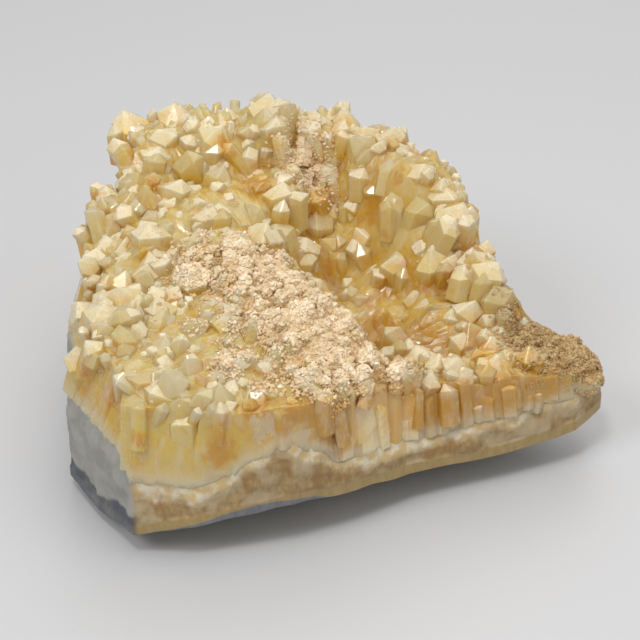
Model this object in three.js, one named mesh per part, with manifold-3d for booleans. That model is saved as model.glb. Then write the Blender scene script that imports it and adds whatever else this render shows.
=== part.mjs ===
// A citrine cluster: a broken piece of a geode's wall. A chalcedony base,
// banded along its broken sides, carries one grown-together crust of citrine
// points, with a sugary ridge and a deep furrow across it.
//
// Millimetres, +Z up. The long broken face looks towards -Y, and the origin
// lies on the surface that the piece rests on, under the middle of its box.

import * as THREE from 'three';
import { mergeVertices } from 'three/addons/utils/BufferGeometryUtils.js';
import Module from 'manifold-3d';

const wasm = await Module();
wasm.setup();

// ---------------------------------------------------------------- sizes

// Corners of the broken outline, seen from above, anticlockwise from the
// near-left corner. The spur is the low arm at the right.
const OUTLINE = [
  [-46.5, -36.5], [-36.0, -42.0], [-17.0, -44.0], [-4.0, -42.0],
  [8.0, -38.5], [28.0, -37.5], [44.0, -36.5], [51.0, -32.5],
  [52.0, -26.5], [47.0, -20.5], [39.0, -17.5], [38.0, -4.0],
  [37.0, 10.0], [30.0, 25.0], [19.0, 36.5], [3.0, 44.0],
  [-15.0, 46.5], [-29.0, 45.0], [-36.5, 33.0], [-44.5, 21.0],
  [-48.0, 12.0], [-47.5, 2.0], [-49.5, -6.0], [-53.5, -12.0], [-50.5, -24.0],
];
const CENTRE = [-3, -12];           // every ring of points shrinks towards here
const FACET = 6.4;                  // longest side of a facet along the outline
const HALF_SPAN = [58, 52];         // a rectangle about the origin that holds it all

// How far the lower edge of the broken side stands above the surface,
// [x, y, z] at places along it.
const RIM_LIFT = [
  [-53, -12, 3], [-51, -22, 2.5], [-46.5, -36.5, 4.4], [-41.5, -39.2, 7],
  [-36, -42, 9], [-28, -43, 10], [-17, -44, 11.2], [-4, -42, 9.8],
  [8, -38, 8.2], [28, -37, 7.6], [38, -37, 8.2], [46, -36, 9.4],
  [52, -28, 11], [36, 5, 13], [-5, 45, 17], [-40, 24, 9],
];

// The underside, from the flat it rests on to the rim: [fraction of the
// outline, fraction of the rim's lift].
const UNDERSIDE = [[0.42, 0], [0.6, 0.25], [0.8, 0.6], [1, 1]];

// The broken side above the rim: a smooth skin, then the ragged fracture.
const SKIN = 2.2;
const RAGGED = 1.6;                 // most that the fracture's edge goes up and down
const RAGGED_AT = 0.62;             // its place between the rim and the seam
const SIDE_INSET = 0.985;
const SEAM_INSET = 0.99;

// How high the base reaches under the crust, [x, y, z]: it climbs to an arch
// left of the middle of the long face, and over the whole of the left end.
const SEAM_LEVELS = [
  [-53, -12, 22], [-51, -22, 23.5], [-48.5, -31, 22.5], [-45, -37, 18.5],
  [-37, -41.5, 18.3], [-30, -42.5, 19.8], [-24, -43, 23.5], [-18, -44, 25.5],
  [-12, -43, 22.5], [-7, -42.5, 17], [2, -40, 17], [12, -38.5, 16],
  [28, -37.5, 16.8], [44, -36.5, 18], [51, -30, 17], [39, -12, 18],
  [34, 18, 22], [10, 42, 27], [-18, 46, 27], [-40, 30, 23], [-48, 5, 21], [-3, -12, 17],
];
const SEAM_GAP = 0.35;              // between the base and the crust

// How high the points reach, [x, y, z], over each part of the cluster.
const TIP_LEVELS = {
  leftEnd: [[-47, -14, 40], [-45, -25, 38], [-42, -33, 36]],
  frontLeft: [[-33, -37, 36.5], [-23, -38, 35.5], [-13, -39, 34.5], [-5, -40, 33.5]],
  leftMass: [[-30, -22, 38.5], [-38, -5, 40], [-26, -10, 41], [-42, 9, 41.5], [-29, 5, 43], [-18, 3, 43.5]],
  leftBack: [[-35, 24, 46.5], [-20, 18, 46], [-24, 38, 52]],
  back: [[-11, 36, 53], [2, 34, 54], [12, 28, 52.5], [21, 20, 51.5], [0, 19, 47]],
  ridge: [[-15, -6, 43], [-9, -17, 41.5], [-3, -26, 38.5], [1, -34, 35.5], [2, -40, 31]],
  furrow: [[7, 20, 41], [8, 12, 35], [9, 2, 28], [10, -11, 24], [10, -25, 22]],
  rightMass: [[26, 10, 50], [31, 0, 47], [32, -12, 40.5], [23, -5, 40]],
  rightFoot: [[23, -14, 31], [16, -8, 28], [27, -21, 29], [18, -24, 26]],
  frontRight: [[8, -36, 31.5], [18, -34, 28.5], [28, -35, 26.5]],
  spur: [[36, -28, 25.5], [44, -28, 24.5], [50, -29, 21.5]],
};
const LEVEL_SMOOTHING = 3.0;        // radius over which a level holds

// The sugary crust, a fine coating on the ridge, in the notch at the back
// and on the spur: [x, y, radius] of each patch.
const SUGAR = [
  [-14, -8, 7], [-9, -17, 8.5], [-4, -25, 8.5], [0, -33, 7.5], [3, -39, 5],
  [6, 22, 5], [38, -27, 5], [46, -28, 7],
];

// Points: their spacing over the crust, their size and how they lean.
const POINT_SPACING = 8.0;
const POINT_RADIUS = [3.2, 4.6];
const POINT_RISE = [-2.2, 2.0];     // of a tip above or below the level there
const POINT_TILT = 0.25;            // the most that a point leans at random, mm per mm
const FAN = 0.45;                   // lean of a point near the outline, mm per mm
const FAN_REACH = 16;               // from the outline to where the points stand upright
const POINT_LENGTH = 16;
const TIP_STEEPNESS = [0.65, 1.15]; // height of the pyramid over the radius
const SLOPE_LEAN = 0.1;             // lean down a slope, mm per mm, for each mm per mm of fall

// The solid crust between them: its depth below the tips, and how far it
// stands back from the outline.
const CRUST_DEPTH = 4.8;
const SLOPE_DEPTH = 3.5;            // the further depth on a slope of one in one
const SUGAR_DEPTH = 2.6;
const CRUST_BUMP = 1.6;
const CRUST_FRACTION = 0.9;
const CRUST_FACET = 10;
const CRUST_LEAST = 2.5;            // its least thickness over the base

// Columns: the broken points that stand side by side along the outline.
const COLUMN_SPACING = 7.5;
const COLUMN_RADIUS = [3.5, 4.6];
const COLUMN_BATTER = 0.14;         // how far they lean in, mm per mm of height
const LEFT_BATTER = 0.2;            // and how much more on the left end
const COLUMN_INSET = 0.9;           // of the axis from the outline, over the radius
const COLUMN_STRAY = 1.2;           // of the axis along the outline

// Lumps: the coarse grain of the sugary crust.
const LUMP_SPACING = 5.0;
const LUMP_SIDES = 5;
const LUMP_RADIUS = [2.4, 3.3];
const LUMP_RISE = [-1.2, 0.8];
const LUMP_TILT = 0.5;
const LUMP_LENGTH = 9;

// The largest points, each with its own place: its tip, its radius, and how
// far its foot lies from the tip in x and y.
const LARGE_POINTS = [
  { tip: [-40.5, -6.0, 41.5], radius: 4.4, foot: [4, 2] },
  { tip: [-50.5, -13.5, 34.0], radius: 4.0, foot: [5, 2] },
  { tip: [-47.5, -2.0, 37.0], radius: 3.8, foot: [6, 0] },
  { tip: [-30.5, 7.5, 45.5], radius: 4.2, foot: [1, -1] },
  { tip: [-18.0, 10.0, 46.5], radius: 3.6, foot: [-1, -1] },
  { tip: [-8.0, 4.0, 43.5], radius: 3.8, foot: [-2, 1] },
  { tip: [-26.5, 41.5, 53.0], radius: 4.0, foot: [2, -4] },
  { tip: [1.5, 34.0, 56.0], radius: 4.2, foot: [0, -3] },
  { tip: [-1.5, 13.5, 46.5], radius: 3.8, foot: [-2, 1] },
  { tip: [30.5, -4.5, 46.0], radius: 4.8, foot: [-4, 2] },
  { tip: [34.0, -15.0, 38.5], radius: 4.2, foot: [-5, 2] },
  { tip: [24.0, -8.5, 39.5], radius: 3.8, foot: [-1, 2] },
  { tip: [17.5, -2.5, 35.5], radius: 3.6, foot: [0, 2] },
  { tip: [20.0, -14.0, 31.0], radius: 3.4, foot: [0, 1] },
  { tip: [27.5, -18.0, 32.0], radius: 3.6, foot: [-1, 2] },
  { tip: [8.5, -35.0, 33.5], radius: 3.8, foot: [0, 2] },
  { tip: [19.5, -33.0, 30.0], radius: 3.4, foot: [0, 2] },
  { tip: [27.5, -33.0, 28.5], radius: 3.4, foot: [0, 2] },
  { tip: [36.0, -31.0, 27.5], radius: 3.4, foot: [0, 2] },
];

// ------------------------------------------------------------- helpers

const { clamp, lerp } = THREE.MathUtils;

// A fixed number from 0 to 1 for each number given: the same every run.
function chance(n) {
  const s = Math.sin(n * 127.1 + 311.7) * 43758.5453;
  return s - Math.floor(s);
}
const between = (range, n) => lerp(range[0], range[1], chance(n));
const eitherWay = (n) => 2 * chance(n) - 1;

// A level at (x, y) from the levels [x, y, z] around it, the near ones first.
function levelAt(levels, x, y) {
  let sum = 0;
  let weight = 0;
  for (const [lx, ly, lz] of levels) {
    const w = 1 / ((x - lx) ** 2 + (y - ly) ** 2 + LEVEL_SMOOTHING ** 2) ** 2;
    sum += w * lz;
    weight += w;
  }
  return sum / weight;
}

const tipLevels = Object.values(TIP_LEVELS).flat();
const tipLevel = (x, y) => levelAt(tipLevels, x, y);
const rimLift = (x, y) => levelAt(RIM_LIFT, x, y);
const seamLevel = (x, y) => levelAt(SEAM_LEVELS, x, y);

const isSugar = (x, y) => SUGAR.some(([sx, sy, radius]) => Math.hypot(x - sx, y - sy) < radius);

// Places along the outline, no more than a step apart, with the way out there.
function alongOutline(step) {
  const places = [];
  OUTLINE.forEach(([x, y], i) => {
    const [nextX, nextY] = OUTLINE[(i + 1) % OUTLINE.length];
    const length = Math.hypot(nextX - x, nextY - y);
    const count = Math.ceil(length / step);
    for (let k = 0; k < count; k++) {
      places.push({
        x: lerp(x, nextX, k / count),
        y: lerp(y, nextY, k / count),
        out: [(nextY - y) / length, (x - nextX) / length],
      });
    }
  });
  return places;
}

function insideOutline(x, y) {
  let inside = false;
  OUTLINE.forEach(([ax, ay], i) => {
    const [bx, by] = OUTLINE[(i + 1) % OUTLINE.length];
    if ((ay > y) !== (by > y) && x < ((bx - ax) * (y - ay)) / (by - ay) + ax) inside = !inside;
  });
  return inside;
}

// The nearest place on the outline: how far it is, and the way out there.
function toOutline(x, y) {
  let nearest = { distance: Infinity, out: [0, 0] };
  for (const place of alongOutline(1.5)) {
    const distance = Math.hypot(place.x - x, place.y - y);
    if (distance < nearest.distance) nearest = { distance, out: place.out };
  }
  return nearest;
}

function indexedGeometry(vertices, triangles) {
  const geometry = new THREE.BufferGeometry();
  geometry.setAttribute('position', new THREE.Float32BufferAttribute(vertices, 3));
  geometry.setIndex(triangles);
  return geometry;
}

// A closed solid from rings of points: each ring is the outline drawn in to a
// fraction of itself, with its own height at each point. The first and the
// last ring close on a point over the centre.
function ringSolid(rings) {
  const edge = alongOutline(FACET);
  const count = edge.length;
  const last = rings[rings.length - 1];
  const vertices = [...CENTRE, rings[0].height(...CENTRE, 0)];
  for (const { fraction, height } of rings) {
    edge.forEach((place, i) => {
      const x = lerp(CENTRE[0], place.x, fraction);
      const y = lerp(CENTRE[1], place.y, fraction);
      vertices.push(x, y, height(x, y, i));
    });
  }
  vertices.push(...CENTRE, last.height(...CENTRE, 0));
  const at = (ring, i) => 1 + ring * count + (i % count);
  const top = 1 + rings.length * count;
  const triangles = [];
  for (let i = 0; i < count; i++) {
    triangles.push(0, at(0, i + 1), at(0, i));
    for (let r = 0; r + 1 < rings.length; r++) {
      triangles.push(at(r, i), at(r, i + 1), at(r + 1, i));
      triangles.push(at(r, i + 1), at(r + 1, i + 1), at(r + 1, i));
    }
    triangles.push(at(rings.length - 1, i), at(rings.length - 1, i + 1), top);
  }
  return indexedGeometry(vertices, triangles);
}

// A closed solid with a level bottom and a top of uneven height over a grid.
function fieldSolid(bottom, height, step) {
  const columns = Math.ceil(2 * HALF_SPAN[0] / step);
  const rows = Math.ceil(2 * HALF_SPAN[1] / step);
  const across = columns + 1;
  const vertices = [];
  for (const isTop of [false, true]) {
    for (let row = 0; row <= rows; row++) {
      for (let column = 0; column <= columns; column++) {
        const n = row * across + column;
        const isInner = row > 0 && row < rows && column > 0 && column < columns;
        const stray = isInner ? 0.25 * step : 0;
        const x = column * step - HALF_SPAN[0] + stray * eitherWay(n);
        const y = row * step - HALF_SPAN[1] + stray * eitherWay(n + 0.5);
        vertices.push(x, y, isTop ? height(x, y, n) : bottom);
      }
    }
  }
  const layer = across * (rows + 1);
  const triangles = [];
  const side = (a, b) => triangles.push(a, b, b + layer, a, b + layer, a + layer);
  for (let row = 0; row < rows; row++) {
    for (let column = 0; column < columns; column++) {
      const a = row * across + column;
      const b = a + 1;
      const c = b + across;
      const d = a + across;
      triangles.push(a, c, b, a, d, c);
      triangles.push(a + layer, b + layer, c + layer, a + layer, c + layer, d + layer);
      if (row === 0) side(a, b);
      if (row === rows - 1) side(c, d);
      if (column === 0) side(d, a);
      if (column === columns - 1) side(b, c);
    }
  }
  return indexedGeometry(vertices, triangles);
}

// The outline, drawn in to a fraction of itself, as a plain prism.
function outlinePrism(fraction, depth) {
  const corners = OUTLINE.map(([x, y]) => new THREE.Vector2(
    lerp(CENTRE[0], x, fraction), lerp(CENTRE[1], y, fraction)));
  return new THREE.ExtrudeGeometry(new THREE.Shape(corners), { depth, bevelEnabled: false });
}

function toManifold(geometry) {
  const plain = geometry.clone();
  plain.deleteAttribute('normal');
  plain.deleteAttribute('uv');
  const merged = mergeVertices(plain);
  return new wasm.Manifold(new wasm.Mesh({
    numProp: 3,
    vertProperties: new Float32Array(merged.getAttribute('position').array),
    triVerts: new Uint32Array(merged.getIndex().array),
  }));
}

function toGeometry(solid) {
  const { vertProperties, triVerts } = solid.getMesh();
  return indexedGeometry(Array.from(vertProperties), Array.from(triVerts));
}

// ------------------------------------------------------------ the base

// The chalcedony base: flat where it rests, then curving up as the outside of
// the geode did, with steep broken sides and a wavy top under the crust.
function chalcedonyBase() {
  const ragged = (x, y, i) =>
    lerp(rimLift(x, y), seamLevel(x, y), RAGGED_AT) + 0.5 * RAGGED * eitherWay(i);
  return ringSolid([
    ...UNDERSIDE.map(([fraction, lift]) => ({ fraction, height: (x, y) => lift * rimLift(x, y) })),
    { fraction: 1, height: (x, y) => rimLift(x, y) + SKIN },
    { fraction: SIDE_INSET, height: ragged },
    { fraction: SEAM_INSET, height: seamLevel },
  ]);
}

// ----------------------------------------------------------- the crust

// One quartz point: a six-sided prism with uneven shoulders and a six-faced
// tip a little off its axis. A lump of the sugary crust has fewer sides.
function quartzPoint({ foot, tip, radius, seed, sides = 6 }) {
  const axis = tip.clone().sub(foot);
  const length = axis.length();
  const pyramid = radius * between(TIP_STEEPNESS, seed);
  const narrow = between([0.78, 1], seed + 1);
  const turn = chance(seed + 2) * Math.PI;
  const vertices = [];
  for (const isShoulder of [false, true]) {
    for (let k = 0; k < sides; k++) {
      const angle = turn + k * 2 * Math.PI / sides;
      const shoulder = Math.max(length - pyramid * between([0.7, 1.4], seed + 3 + k), 0.3 * length);
      const z = isShoulder ? shoulder : 0;
      vertices.push(radius * Math.cos(angle), narrow * radius * Math.sin(angle), z);
    }
  }
  vertices.push(0.2 * radius * eitherWay(seed + 9), 0.2 * radius * eitherWay(seed + 10), length);
  const triangles = [];
  const peak = 2 * sides;
  for (let k = 0; k < sides; k++) {
    const next = (k + 1) % sides;
    const shoulder = sides + k;
    triangles.push(k, next, shoulder, next, sides + next, shoulder, shoulder, sides + next, peak);
    if (k > 0 && k < sides - 1) triangles.push(0, k + 1, k);
  }
  const geometry = indexedGeometry(vertices, triangles);
  const up = new THREE.Vector3(0, 0, 1);
  geometry.applyQuaternion(new THREE.Quaternion().setFromUnitVectors(up, axis.normalize()));
  geometry.translate(foot.x, foot.y, foot.z);
  return geometry;
}

// A honeycomb of places inside the outline, each moved a little at random.
function honeycomb(spacing, firstSeed) {
  const places = [];
  const rowStep = spacing * Math.sqrt(3) / 2;
  const rows = Math.ceil(HALF_SPAN[1] / rowStep);
  const columns = Math.ceil(HALF_SPAN[0] / spacing);
  for (let row = -rows; row <= rows; row++) {
    for (let column = -columns; column <= columns; column++) {
      const seed = firstSeed + 20 * ((row + rows) * (2 * columns + 1) + column + columns);
      const x = (column + 0.5 * (row & 1) + 0.3 * eitherWay(seed)) * spacing;
      const y = row * rowStep + 0.3 * spacing * eitherWay(seed + 1);
      if (insideOutline(x, y)) places.push({ x, y, seed });
    }
  }
  return places;
}

function largePoints() {
  return LARGE_POINTS.map(({ tip, radius, foot }, i) => ({
    tip: new THREE.Vector3(...tip),
    foot: new THREE.Vector3(tip[0] + foot[0], tip[1] + foot[1], tip[2] - POINT_LENGTH),
    radius,
    seed: 100 + 20 * i,
  }));
}

// How the level of the tips falls at (x, y), in mm per mm along x and y.
function fallAt(x, y) {
  const level = tipLevel(x, y);
  return [level - tipLevel(x + 1, y), level - tipLevel(x, y + 1)].map((fall) => clamp(fall, -1.2, 1.2));
}

// Points of the crust, leaning down slopes, and out near the outline.
function crustPoints() {
  const places = honeycomb(POINT_SPACING, 1000).filter(({ x, y }) => !isSugar(x, y));
  return places.map(({ x, y, seed }) => {
    const { distance, out } = toOutline(x, y);
    const fan = FAN * clamp(1 - distance / FAN_REACH, 0, 1);
    const fall = fallAt(x, y);
    const length = Math.min(POINT_LENGTH, tipLevel(x, y) - seamLevel(x, y) - 2);
    const tip = new THREE.Vector3(x, y, tipLevel(x, y) + between(POINT_RISE, seed + 2));
    const foot = tip.clone().sub(new THREE.Vector3(
      length * (fan * out[0] + SLOPE_LEAN * fall[0] + POINT_TILT * eitherWay(seed + 3)),
      length * (fan * out[1] + SLOPE_LEAN * fall[1] + POINT_TILT * eitherWay(seed + 4)),
      length,
    ));
    return { tip, foot, radius: between(POINT_RADIUS, seed + 5), seed: seed + 6, distance };
  }).filter(({ radius, distance }) => distance > radius + 2);
}

// Columns along the outline, from the seam up to the level of the tips.
function edgeColumns() {
  return alongOutline(COLUMN_SPACING).map(({ x, y, out }, i) => {
    const seed = 40000 + 20 * i;
    const radius = between(COLUMN_RADIUS, seed + 2);
    const inset = COLUMN_INSET * radius + 0.6 * chance(seed + 3);
    const stray = COLUMN_STRAY * eitherWay(seed);
    const footX = x - inset * out[0] - stray * out[1];
    const footY = y - inset * out[1] + stray * out[0];
    const level = tipLevel(footX, footY) + between(POINT_RISE, seed + 1) - 1;
    const foot = new THREE.Vector3(footX, footY, seamLevel(footX, footY) - 1);
    const batter = (COLUMN_BATTER + LEFT_BATTER * Math.max(0, -out[0])) * (level - foot.z);
    const tip = new THREE.Vector3(footX - batter * out[0], footY - batter * out[1], level);
    return { tip, foot, radius, seed: seed + 4 };
  });
}

function sugarLumps() {
  const places = honeycomb(LUMP_SPACING, 60000).filter(({ x, y }) =>
    isSugar(x, y) && toOutline(x, y).distance > 4);
  return places.map(({ x, y, seed }) => {
    const tip = new THREE.Vector3(x, y, tipLevel(x, y) + between(LUMP_RISE, seed + 2));
    const foot = tip.clone().sub(new THREE.Vector3(
      LUMP_LENGTH * LUMP_TILT * eitherWay(seed + 3),
      LUMP_LENGTH * LUMP_TILT * eitherWay(seed + 4),
      LUMP_LENGTH,
    ));
    return { tip, foot, radius: between(LUMP_RADIUS, seed + 5), seed: seed + 6, sides: LUMP_SIDES };
  });
}

// The solid crust that the points grow out of.
function crustBody() {
  const depth = (x, y) => (
    isSugar(x, y) ? SUGAR_DEPTH : CRUST_DEPTH + SLOPE_DEPTH * Math.hypot(...fallAt(x, y)));
  const height = (x, y, n) => Math.max(
    tipLevel(x, y) - depth(x, y) + 0.5 * CRUST_BUMP * eitherWay(n + 0.7),
    seamLevel(x, y) + CRUST_LEAST,
  );
  const field = toManifold(fieldSolid(1, height, CRUST_FACET));
  return field.intersect(toManifold(outlinePrism(CRUST_FRACTION, 80)));
}

// Everything below the crust, with the gap over the base.
function belowCrust() {
  const top = (x, y) => seamLevel(x, y) + SEAM_GAP;
  return toManifold(ringSolid([
    { fraction: 1.3, height: () => 0 },
    { fraction: 1.3, height: top },
    { fraction: SEAM_INSET, height: top },
  ]));
}

function citrineCrust() {
  const large = largePoints();
  const clearOfLarge = ({ tip, radius }) => large.every((point) =>
    point.tip.distanceTo(tip) > 0.65 * (point.radius + radius));
  const small = [...crustPoints(), ...sugarLumps()].filter(clearOfLarge);
  const points = [...large, ...edgeColumns(), ...small].map((point) => toManifold(quartzPoint(point)));
  const crust = wasm.Manifold.union([crustBody(), ...points]);
  return toGeometry(crust.subtract(belowCrust()));
}

// ------------------------------------------------------------ assembly

// The dimensions above are taken from a place near the middle of the resting
// face. The finished part's origin is under the middle of its box.
const TO_BOX_MIDDLE = [0.75, -1.25, 0];

const group = new THREE.Group();

const base = new THREE.Mesh(chalcedonyBase().translate(...TO_BOX_MIDDLE), new THREE.MeshStandardMaterial({
  color: '#b9a587', roughness: 0.6, metalness: 0,
}));
base.name = 'chalcedony_base';
group.add(base);

const crust = new THREE.Mesh(citrineCrust().translate(...TO_BOX_MIDDLE), new THREE.MeshStandardMaterial({
  color: '#dcb45e', roughness: 0.25, metalness: 0, transparent: true, opacity: 0.75,
}));
crust.name = 'citrine_crystals';
group.add(crust);

export default group;
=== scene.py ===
# %% [markdown]
# # A citrine cluster
#
# A broken piece of a geode's wall: a banded chalcedony base carries a crust of
# quartz points, and part of the crust is coated with fine sugary crystals.
# The CAD model gives the base and the crust as two faceted solids. This lesson
# models both again in finer detail, in the same place and at the same size.

# %% Load the frame
import math

import bmesh
import bpy
import numpy as np
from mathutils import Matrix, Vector


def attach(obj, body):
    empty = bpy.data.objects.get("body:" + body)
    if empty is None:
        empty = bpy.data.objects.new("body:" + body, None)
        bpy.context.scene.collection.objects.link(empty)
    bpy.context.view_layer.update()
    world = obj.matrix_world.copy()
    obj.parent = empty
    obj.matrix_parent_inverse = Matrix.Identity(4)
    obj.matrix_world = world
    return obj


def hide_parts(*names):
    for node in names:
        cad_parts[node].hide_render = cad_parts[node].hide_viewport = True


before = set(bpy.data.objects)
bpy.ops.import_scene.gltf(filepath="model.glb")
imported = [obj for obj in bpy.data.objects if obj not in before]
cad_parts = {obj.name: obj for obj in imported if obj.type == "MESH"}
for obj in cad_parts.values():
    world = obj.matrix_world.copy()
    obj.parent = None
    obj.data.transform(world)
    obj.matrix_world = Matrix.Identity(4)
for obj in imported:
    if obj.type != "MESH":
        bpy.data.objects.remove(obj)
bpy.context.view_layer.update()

MM = 0.001
random = np.random.default_rng(7)

# %% [markdown]
# The camera looks down on the long broken face, a little from its left. A long
# lens from some way off keeps the proportions: a short lens close by would
# swell the near corner of so small a thing.

# %% Camera
CAMERA_AZIMUTH = math.radians(-17.8)
CAMERA_ELEVATION = math.radians(34)
CAMERA_DISTANCE = 434 * MM
CAMERA_TARGET = np.array([2.45, -3.0, 22]) * MM
CAMERA_LENS = 120
CAMERA_CLIP_START = 0.01


def towards(azimuth, elevation):
    """Unit vector from the object to a viewer; azimuth 0 is in front, at -Y."""
    return np.array([math.sin(azimuth) * math.cos(elevation),
                     -math.cos(azimuth) * math.cos(elevation), math.sin(elevation)])


def aim(thing, place, target):
    """Put an object at a place, with its -Z axis towards the target."""
    thing.location = place
    thing.rotation_euler = Vector(np.subtract(target, place)).to_track_quat("-Z", "Y").to_euler()


camera = bpy.data.objects.new("camera", bpy.data.cameras.new("camera"))
camera.data.lens = CAMERA_LENS
camera.data.clip_start = CAMERA_CLIP_START
bpy.context.scene.collection.objects.link(camera)
aim(camera, CAMERA_TARGET + CAMERA_DISTANCE * towards(CAMERA_AZIMUTH, CAMERA_ELEVATION), CAMERA_TARGET)
bpy.context.scene.camera = camera
print("camera", round(CAMERA_DISTANCE / MM), "mm from its target")

# %% [markdown]
# Soft studio light: a key lamp high on the left, weaker lamps above, on the
# right and behind, and a pale world that fills the shadows. The glint is a
# small lamp whose mirror image makes a few tips sparkle.

# %% Lights
LAMPS = [
    # name, azimuth, elevation, distance in m, size in m, power in W
    ("key", -65, 48, 0.75, 0.28, 1.4),
    ("top", 60, 80, 0.7, 0.45, 0.85),
    ("fill", 50, 35, 0.9, 0.8, 0.95),
    ("back", 150, 50, 0.8, 0.6, 1.25),
    ("glint", -30, 66, 0.7, 0.12, 1.0),
]
WORLD_COLOUR = (1.0, 0.985, 0.96, 1)
WORLD_STRENGTH = 0.4

for name, azimuth, elevation, distance, size, power in LAMPS:
    lamp = bpy.data.objects.new(name, bpy.data.lights.new(name, "AREA"))
    lamp.data.shape = "DISK"
    lamp.data.size = size
    lamp.data.energy = power
    bpy.context.scene.collection.objects.link(lamp)
    place = distance * towards(math.radians(azimuth), math.radians(elevation))
    aim(lamp, place, CAMERA_TARGET)

world = bpy.data.worlds.new("studio")
world.use_nodes = True
background = world.node_tree.nodes["Background"]
background.inputs["Color"].default_value = WORLD_COLOUR
background.inputs["Strength"].default_value = WORLD_STRENGTH
bpy.context.scene.world = world
bpy.context.scene.view_settings.view_transform = "Standard"
print("lamps:", [lamp[0] for lamp in LAMPS])

# %% [markdown]
# Every new mesh is made by one helper, which takes millimetres and keeps the
# object itself at the origin. Every material starts as a Principled BSDF. The
# first use of both is the plain floor.

# %% Helpers for meshes and materials, and the floor
# The dimensions below are taken from a place near the middle of the resting
# face. The origin of the finished part is under the middle of its box.
SHIFT = np.array([0.75, -1.25, 0])


def mesh_object(name, vertices, faces):
    """A new object from vertices in mm and faces, at the origin."""
    mesh = bpy.data.meshes.new(name)
    mesh.from_pydata(((np.asarray(vertices) + SHIFT) * MM).tolist(), [], faces)
    mesh.update()
    thing = bpy.data.objects.new(name, mesh)
    bpy.context.scene.collection.objects.link(thing)
    return thing


def new_material(name):
    """A node material with one Principled BSDF, and that node."""
    material = bpy.data.materials.new(name)
    material.use_nodes = True
    return material, material.node_tree.nodes["Principled BSDF"]


FLOOR_HALF = 1500
FLOOR_COLOUR = (0.62, 0.62, 0.63, 1)
FLOOR_ROUGHNESS = 0.45
floor_corners = [(x * FLOOR_HALF, y * FLOOR_HALF, 0) for x, y in ((-1, -1), (1, -1), (1, 1), (-1, 1))]
floor = mesh_object("floor", floor_corners, [(0, 1, 2, 3)])
floor_material, shader = new_material("pale_floor")
shader.inputs["Base Color"].default_value = FLOOR_COLOUR
shader.inputs["Roughness"].default_value = FLOOR_ROUGHNESS
floor.data.materials.append(floor_material)
print("floor half width in mm:", FLOOR_HALF)

# %% [markdown]
# ## The shape of the piece
#
# A few dimensions drive everything: the broken outline seen from above, how far
# the lower rim stands off the floor, where the crust meets the base, and how
# high the points reach. These are the same numbers as in the CAD model, so the
# finer crystals stand where its faceted ones do.

# %% Driving dimensions, in mm
OUTLINE = np.array([
    [-46.5, -36.5], [-36.0, -42.0], [-17.0, -44.0], [-4.0, -42.0],
    [8.0, -38.5], [28.0, -37.5], [44.0, -36.5], [51.0, -32.5],
    [52.0, -26.5], [47.0, -20.5], [39.0, -17.5], [38.0, -4.0],
    [37.0, 10.0], [30.0, 25.0], [19.0, 36.5], [3.0, 44.0],
    [-15.0, 46.5], [-29.0, 45.0], [-36.5, 33.0], [-44.5, 21.0],
    [-48.0, 12.0], [-47.5, 2.0], [-49.5, -6.0], [-53.5, -12.0], [-50.5, -24.0]])
CENTRE = np.array([-3.0, -12.0])
RIM_LIFT = [[-53, -12, 3], [-51, -22, 2.5], [-46.5, -36.5, 4.4], [-41.5, -39.2, 7],
            [-36, -42, 9], [-28, -43, 10], [-17, -44, 11.2], [-4, -42, 9.8],
            [8, -38, 8.2], [28, -37, 7.6], [38, -37, 8.2], [46, -36, 9.4],
            [52, -28, 11], [36, 5, 13], [-5, 45, 17], [-40, 24, 9]]
SEAM_LEVELS = [[-53, -12, 22], [-51, -22, 23.5], [-48.5, -31, 22.5], [-45, -37, 18.5],
               [-37, -41.5, 18.3], [-30, -42.5, 19.8], [-24, -43, 23.5], [-18, -44, 25.5],
               [-12, -43, 22.5], [-7, -42.5, 17], [2, -40, 17], [12, -38.5, 16],
               [28, -37.5, 16.8], [44, -36.5, 18], [51, -30, 17], [39, -12, 18],
               [34, 18, 22], [10, 42, 27], [-18, 46, 27], [-40, 30, 23], [-48, 5, 21], [-3, -12, 17]]
TIP_LEVELS = [
    [-47, -14, 40], [-45, -25, 38], [-42, -33, 36],                       # left end
    [-33, -37, 36.5], [-23, -38, 35.5], [-13, -39, 34.5], [-5, -40, 33.5],  # front left
    [-30, -22, 38.5], [-38, -5, 40], [-26, -10, 41], [-42, 9, 41.5],      # left mass
    [-29, 5, 43], [-18, 3, 43.5], [-35, 24, 46.5], [-20, 18, 46], [-24, 38, 52],
    [-11, 36, 53], [2, 34, 54], [12, 28, 52.5], [21, 20, 51.5], [0, 19, 47],  # back
    [-15, -6, 43], [-9, -17, 41.5], [-3, -26, 38.5], [1, -34, 35.5], [2, -40, 31],  # ridge
    [7, 20, 41], [8, 12, 35], [9, 2, 28], [10, -11, 24], [10, -25, 22],   # furrow
    [26, 10, 50], [31, 0, 47], [32, -12, 40.5], [23, -5, 40],             # right mass
    [23, -14, 31], [16, -8, 28], [27, -21, 29], [18, -24, 26],            # right foot
    [8, -36, 31.5], [18, -34, 28.5], [28, -35, 26.5],                     # front right
    [36, -28, 25.5], [44, -28, 24.5], [50, -29, 21.5]]                    # spur
SUGAR = np.array([[-14, -8, 7], [-9, -17, 8.5], [-4, -25, 8.5], [0, -33, 7.5], [3, -39, 5],
                  [6, 22, 5], [38, -27, 5], [46, -28, 7]])
LEVEL_SMOOTHING = 3.0
print(len(OUTLINE), "corners,", len(TIP_LEVELS), "tip levels,", len(SUGAR), "sugar patches")

# %% [markdown]
# Between the given places a level is a weighted mean of the levels around it,
# which keeps the surface smooth with few numbers. A sugar patch is a circle,
# and a place's margin says how far inside the nearest circle it lies.

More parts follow.
